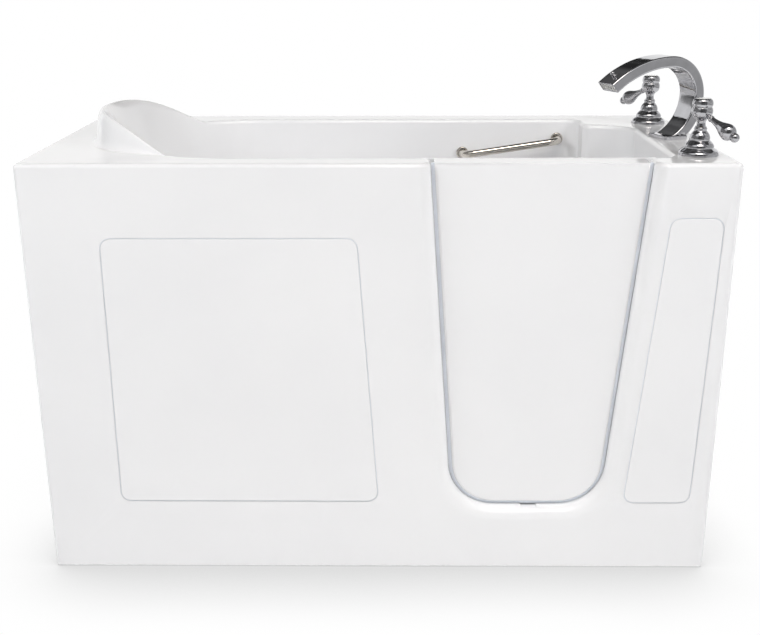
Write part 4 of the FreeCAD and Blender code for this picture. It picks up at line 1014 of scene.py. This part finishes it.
def cloth(name, low, high):
    """A glowing cloth with soft clouds, so that what mirrors show is never one flat tone."""
    material = bpy.data.materials.new(name)
    material.use_nodes = True
    tree = material.node_tree
    tree.nodes.clear()
    where = tree.nodes.new("ShaderNodeTexCoord").outputs["Object"]
    glow = tree.nodes.new("ShaderNodeEmission")
    clouds = noise(tree, where, CLOTH_CLOUDS, 1.0)
    tree.links.new(grey_ramp(tree, clouds, 0.35, 0.65, low, high), glow.inputs["Color"])
    output = tree.nodes.new("ShaderNodeOutputMaterial")
    tree.links.new(glow.outputs["Emission"], output.inputs["Surface"])
    return material


def card(name, place, aim, width, height, finish):
    """A card out of the picture that only mirrors see."""
    bpy.ops.mesh.primitive_plane_add(size=1.0, location=place)
    sheet = bpy.context.object
    sheet.name = name
    sheet.scale = (width, height, 1.0)
    sheet.rotation_euler = (Vector(aim) - Vector(place)).to_track_quat("-Z", "Y").to_euler()
    finish_with(sheet, finish)
    sheet.visible_camera = False
    sheet.visible_diffuse = False
    sheet.visible_shadow = False
    sheet.visible_transmission = False
    return sheet


grey_cloth = cloth("grey_card", 0.12, 0.38)
pale_cloth = cloth("pale_card", 0.34, 0.72)
dark_cloth = cloth("dark_card", 0.03, 0.16)
card("front_card", (0.0, -6.5, 2.5), (0.0, 0.0, 2.5), 16.0, 7.0, grey_cloth)
card("left_card", (-5.0, -1.0, 2.0), (0.0, -1.0, 2.0), 9.0, 6.0, grey_cloth)
card("right_card", (5.0, -1.0, 2.0), (0.0, -1.0, 2.0), 9.0, 6.0, pale_cloth)
card("camera_card", (0.1, -2.95, 2.05), (0.1, 0.0, 2.05), 2.4, 3.0, dark_cloth)
card("side_strip", (1.95, -3.2, 1.6), (0.7, 0.0, 1.1), 0.55, 3.0, dark_cloth)
card("ceiling_card", (0.3, 1.0, 3.4), (0.3, 1.0, 0.0), 6.0, 3.6, dark_cloth)
card("back_card", (0.3, 3.4, 4.0), (0.3, 0.0, 1.2), 7.0, 3.4, dark_cloth)
print("cards in", grey_cloth.name, pale_cloth.name, dark_cloth.name)

# %% [markdown]
# ## Lamps
# Two broad lamps, left and right in front, do most of the work. A far lamp in front fills the face, warm
# ones hang above and stand near the floor, one behind lights the back, and a narrow one looks down into the
# well. Five of the lamps are hidden from mirrors, where they would only make white spots.

# %% Lamps
COOL = (0.84, 0.91, 1.0)
WARM = (1.0, 0.92, 0.84)
PLAIN = (0.98, 0.985, 1.0)
MIDDLE = (0.0, 0.0, 0.6)
WELL_LAMP_DEPTH = 0.2
WELL_LAMP_SPREAD = radians(14)


def soft_lamp(name, place, aim, size, power, color):
    """A square soft box that points at a place and isn't seen itself."""
    bpy.ops.object.light_add(type="AREA", location=place)
    lamp = bpy.context.object
    lamp.name = name
    lamp.data.shape = "SQUARE"
    lamp.data.size = size
    lamp.data.energy = power
    lamp.data.color = color
    lamp.rotation_euler = (Vector(aim) - Vector(place)).to_track_quat("-Z", "Y").to_euler()
    lamp.visible_camera = False
    return lamp


soft_lamp("front_lamp", (0.3, -6.2, 2.7), MIDDLE, 2.4, 38.0, COOL)
soft_lamp("high_lamp", (0.5, -2.0, 4.2), MIDDLE, 1.8, 38.0, WARM)
soft_lamp("right_lamp", (3.2, -1.8, 3.0), (-0.4, 0.0, 0.8), 1.8, 79.0, PLAIN)
soft_lamp("left_lamp", (-3.2, -1.8, 3.0), (0.4, 0.0, 0.8), 1.8, 84.0, PLAIN)
soft_lamp("back_lamp", (0.8, 5.5, 1.0), MIDDLE, 2.4, 100.0, PLAIN)
soft_lamp("low_lamp", (0.05, -1.7, 0.2), (0.05, -0.36, 0.1), 1.2, 1.5, WARM)
well_lamp = soft_lamp("well_lamp", (0.05, 0.0, 2.6), (0.05, 0.0, 0.0), 0.9, 0.45, PLAIN)
well_lamp.data.shape = "RECTANGLE"
well_lamp.data.size_y = WELL_LAMP_DEPTH
well_lamp.data.spread = WELL_LAMP_SPREAD
for name in ("right_lamp", "left_lamp", "back_lamp", "low_lamp", "well_lamp"):
    bpy.data.objects[name].visible_glossy = False

# %% [markdown]
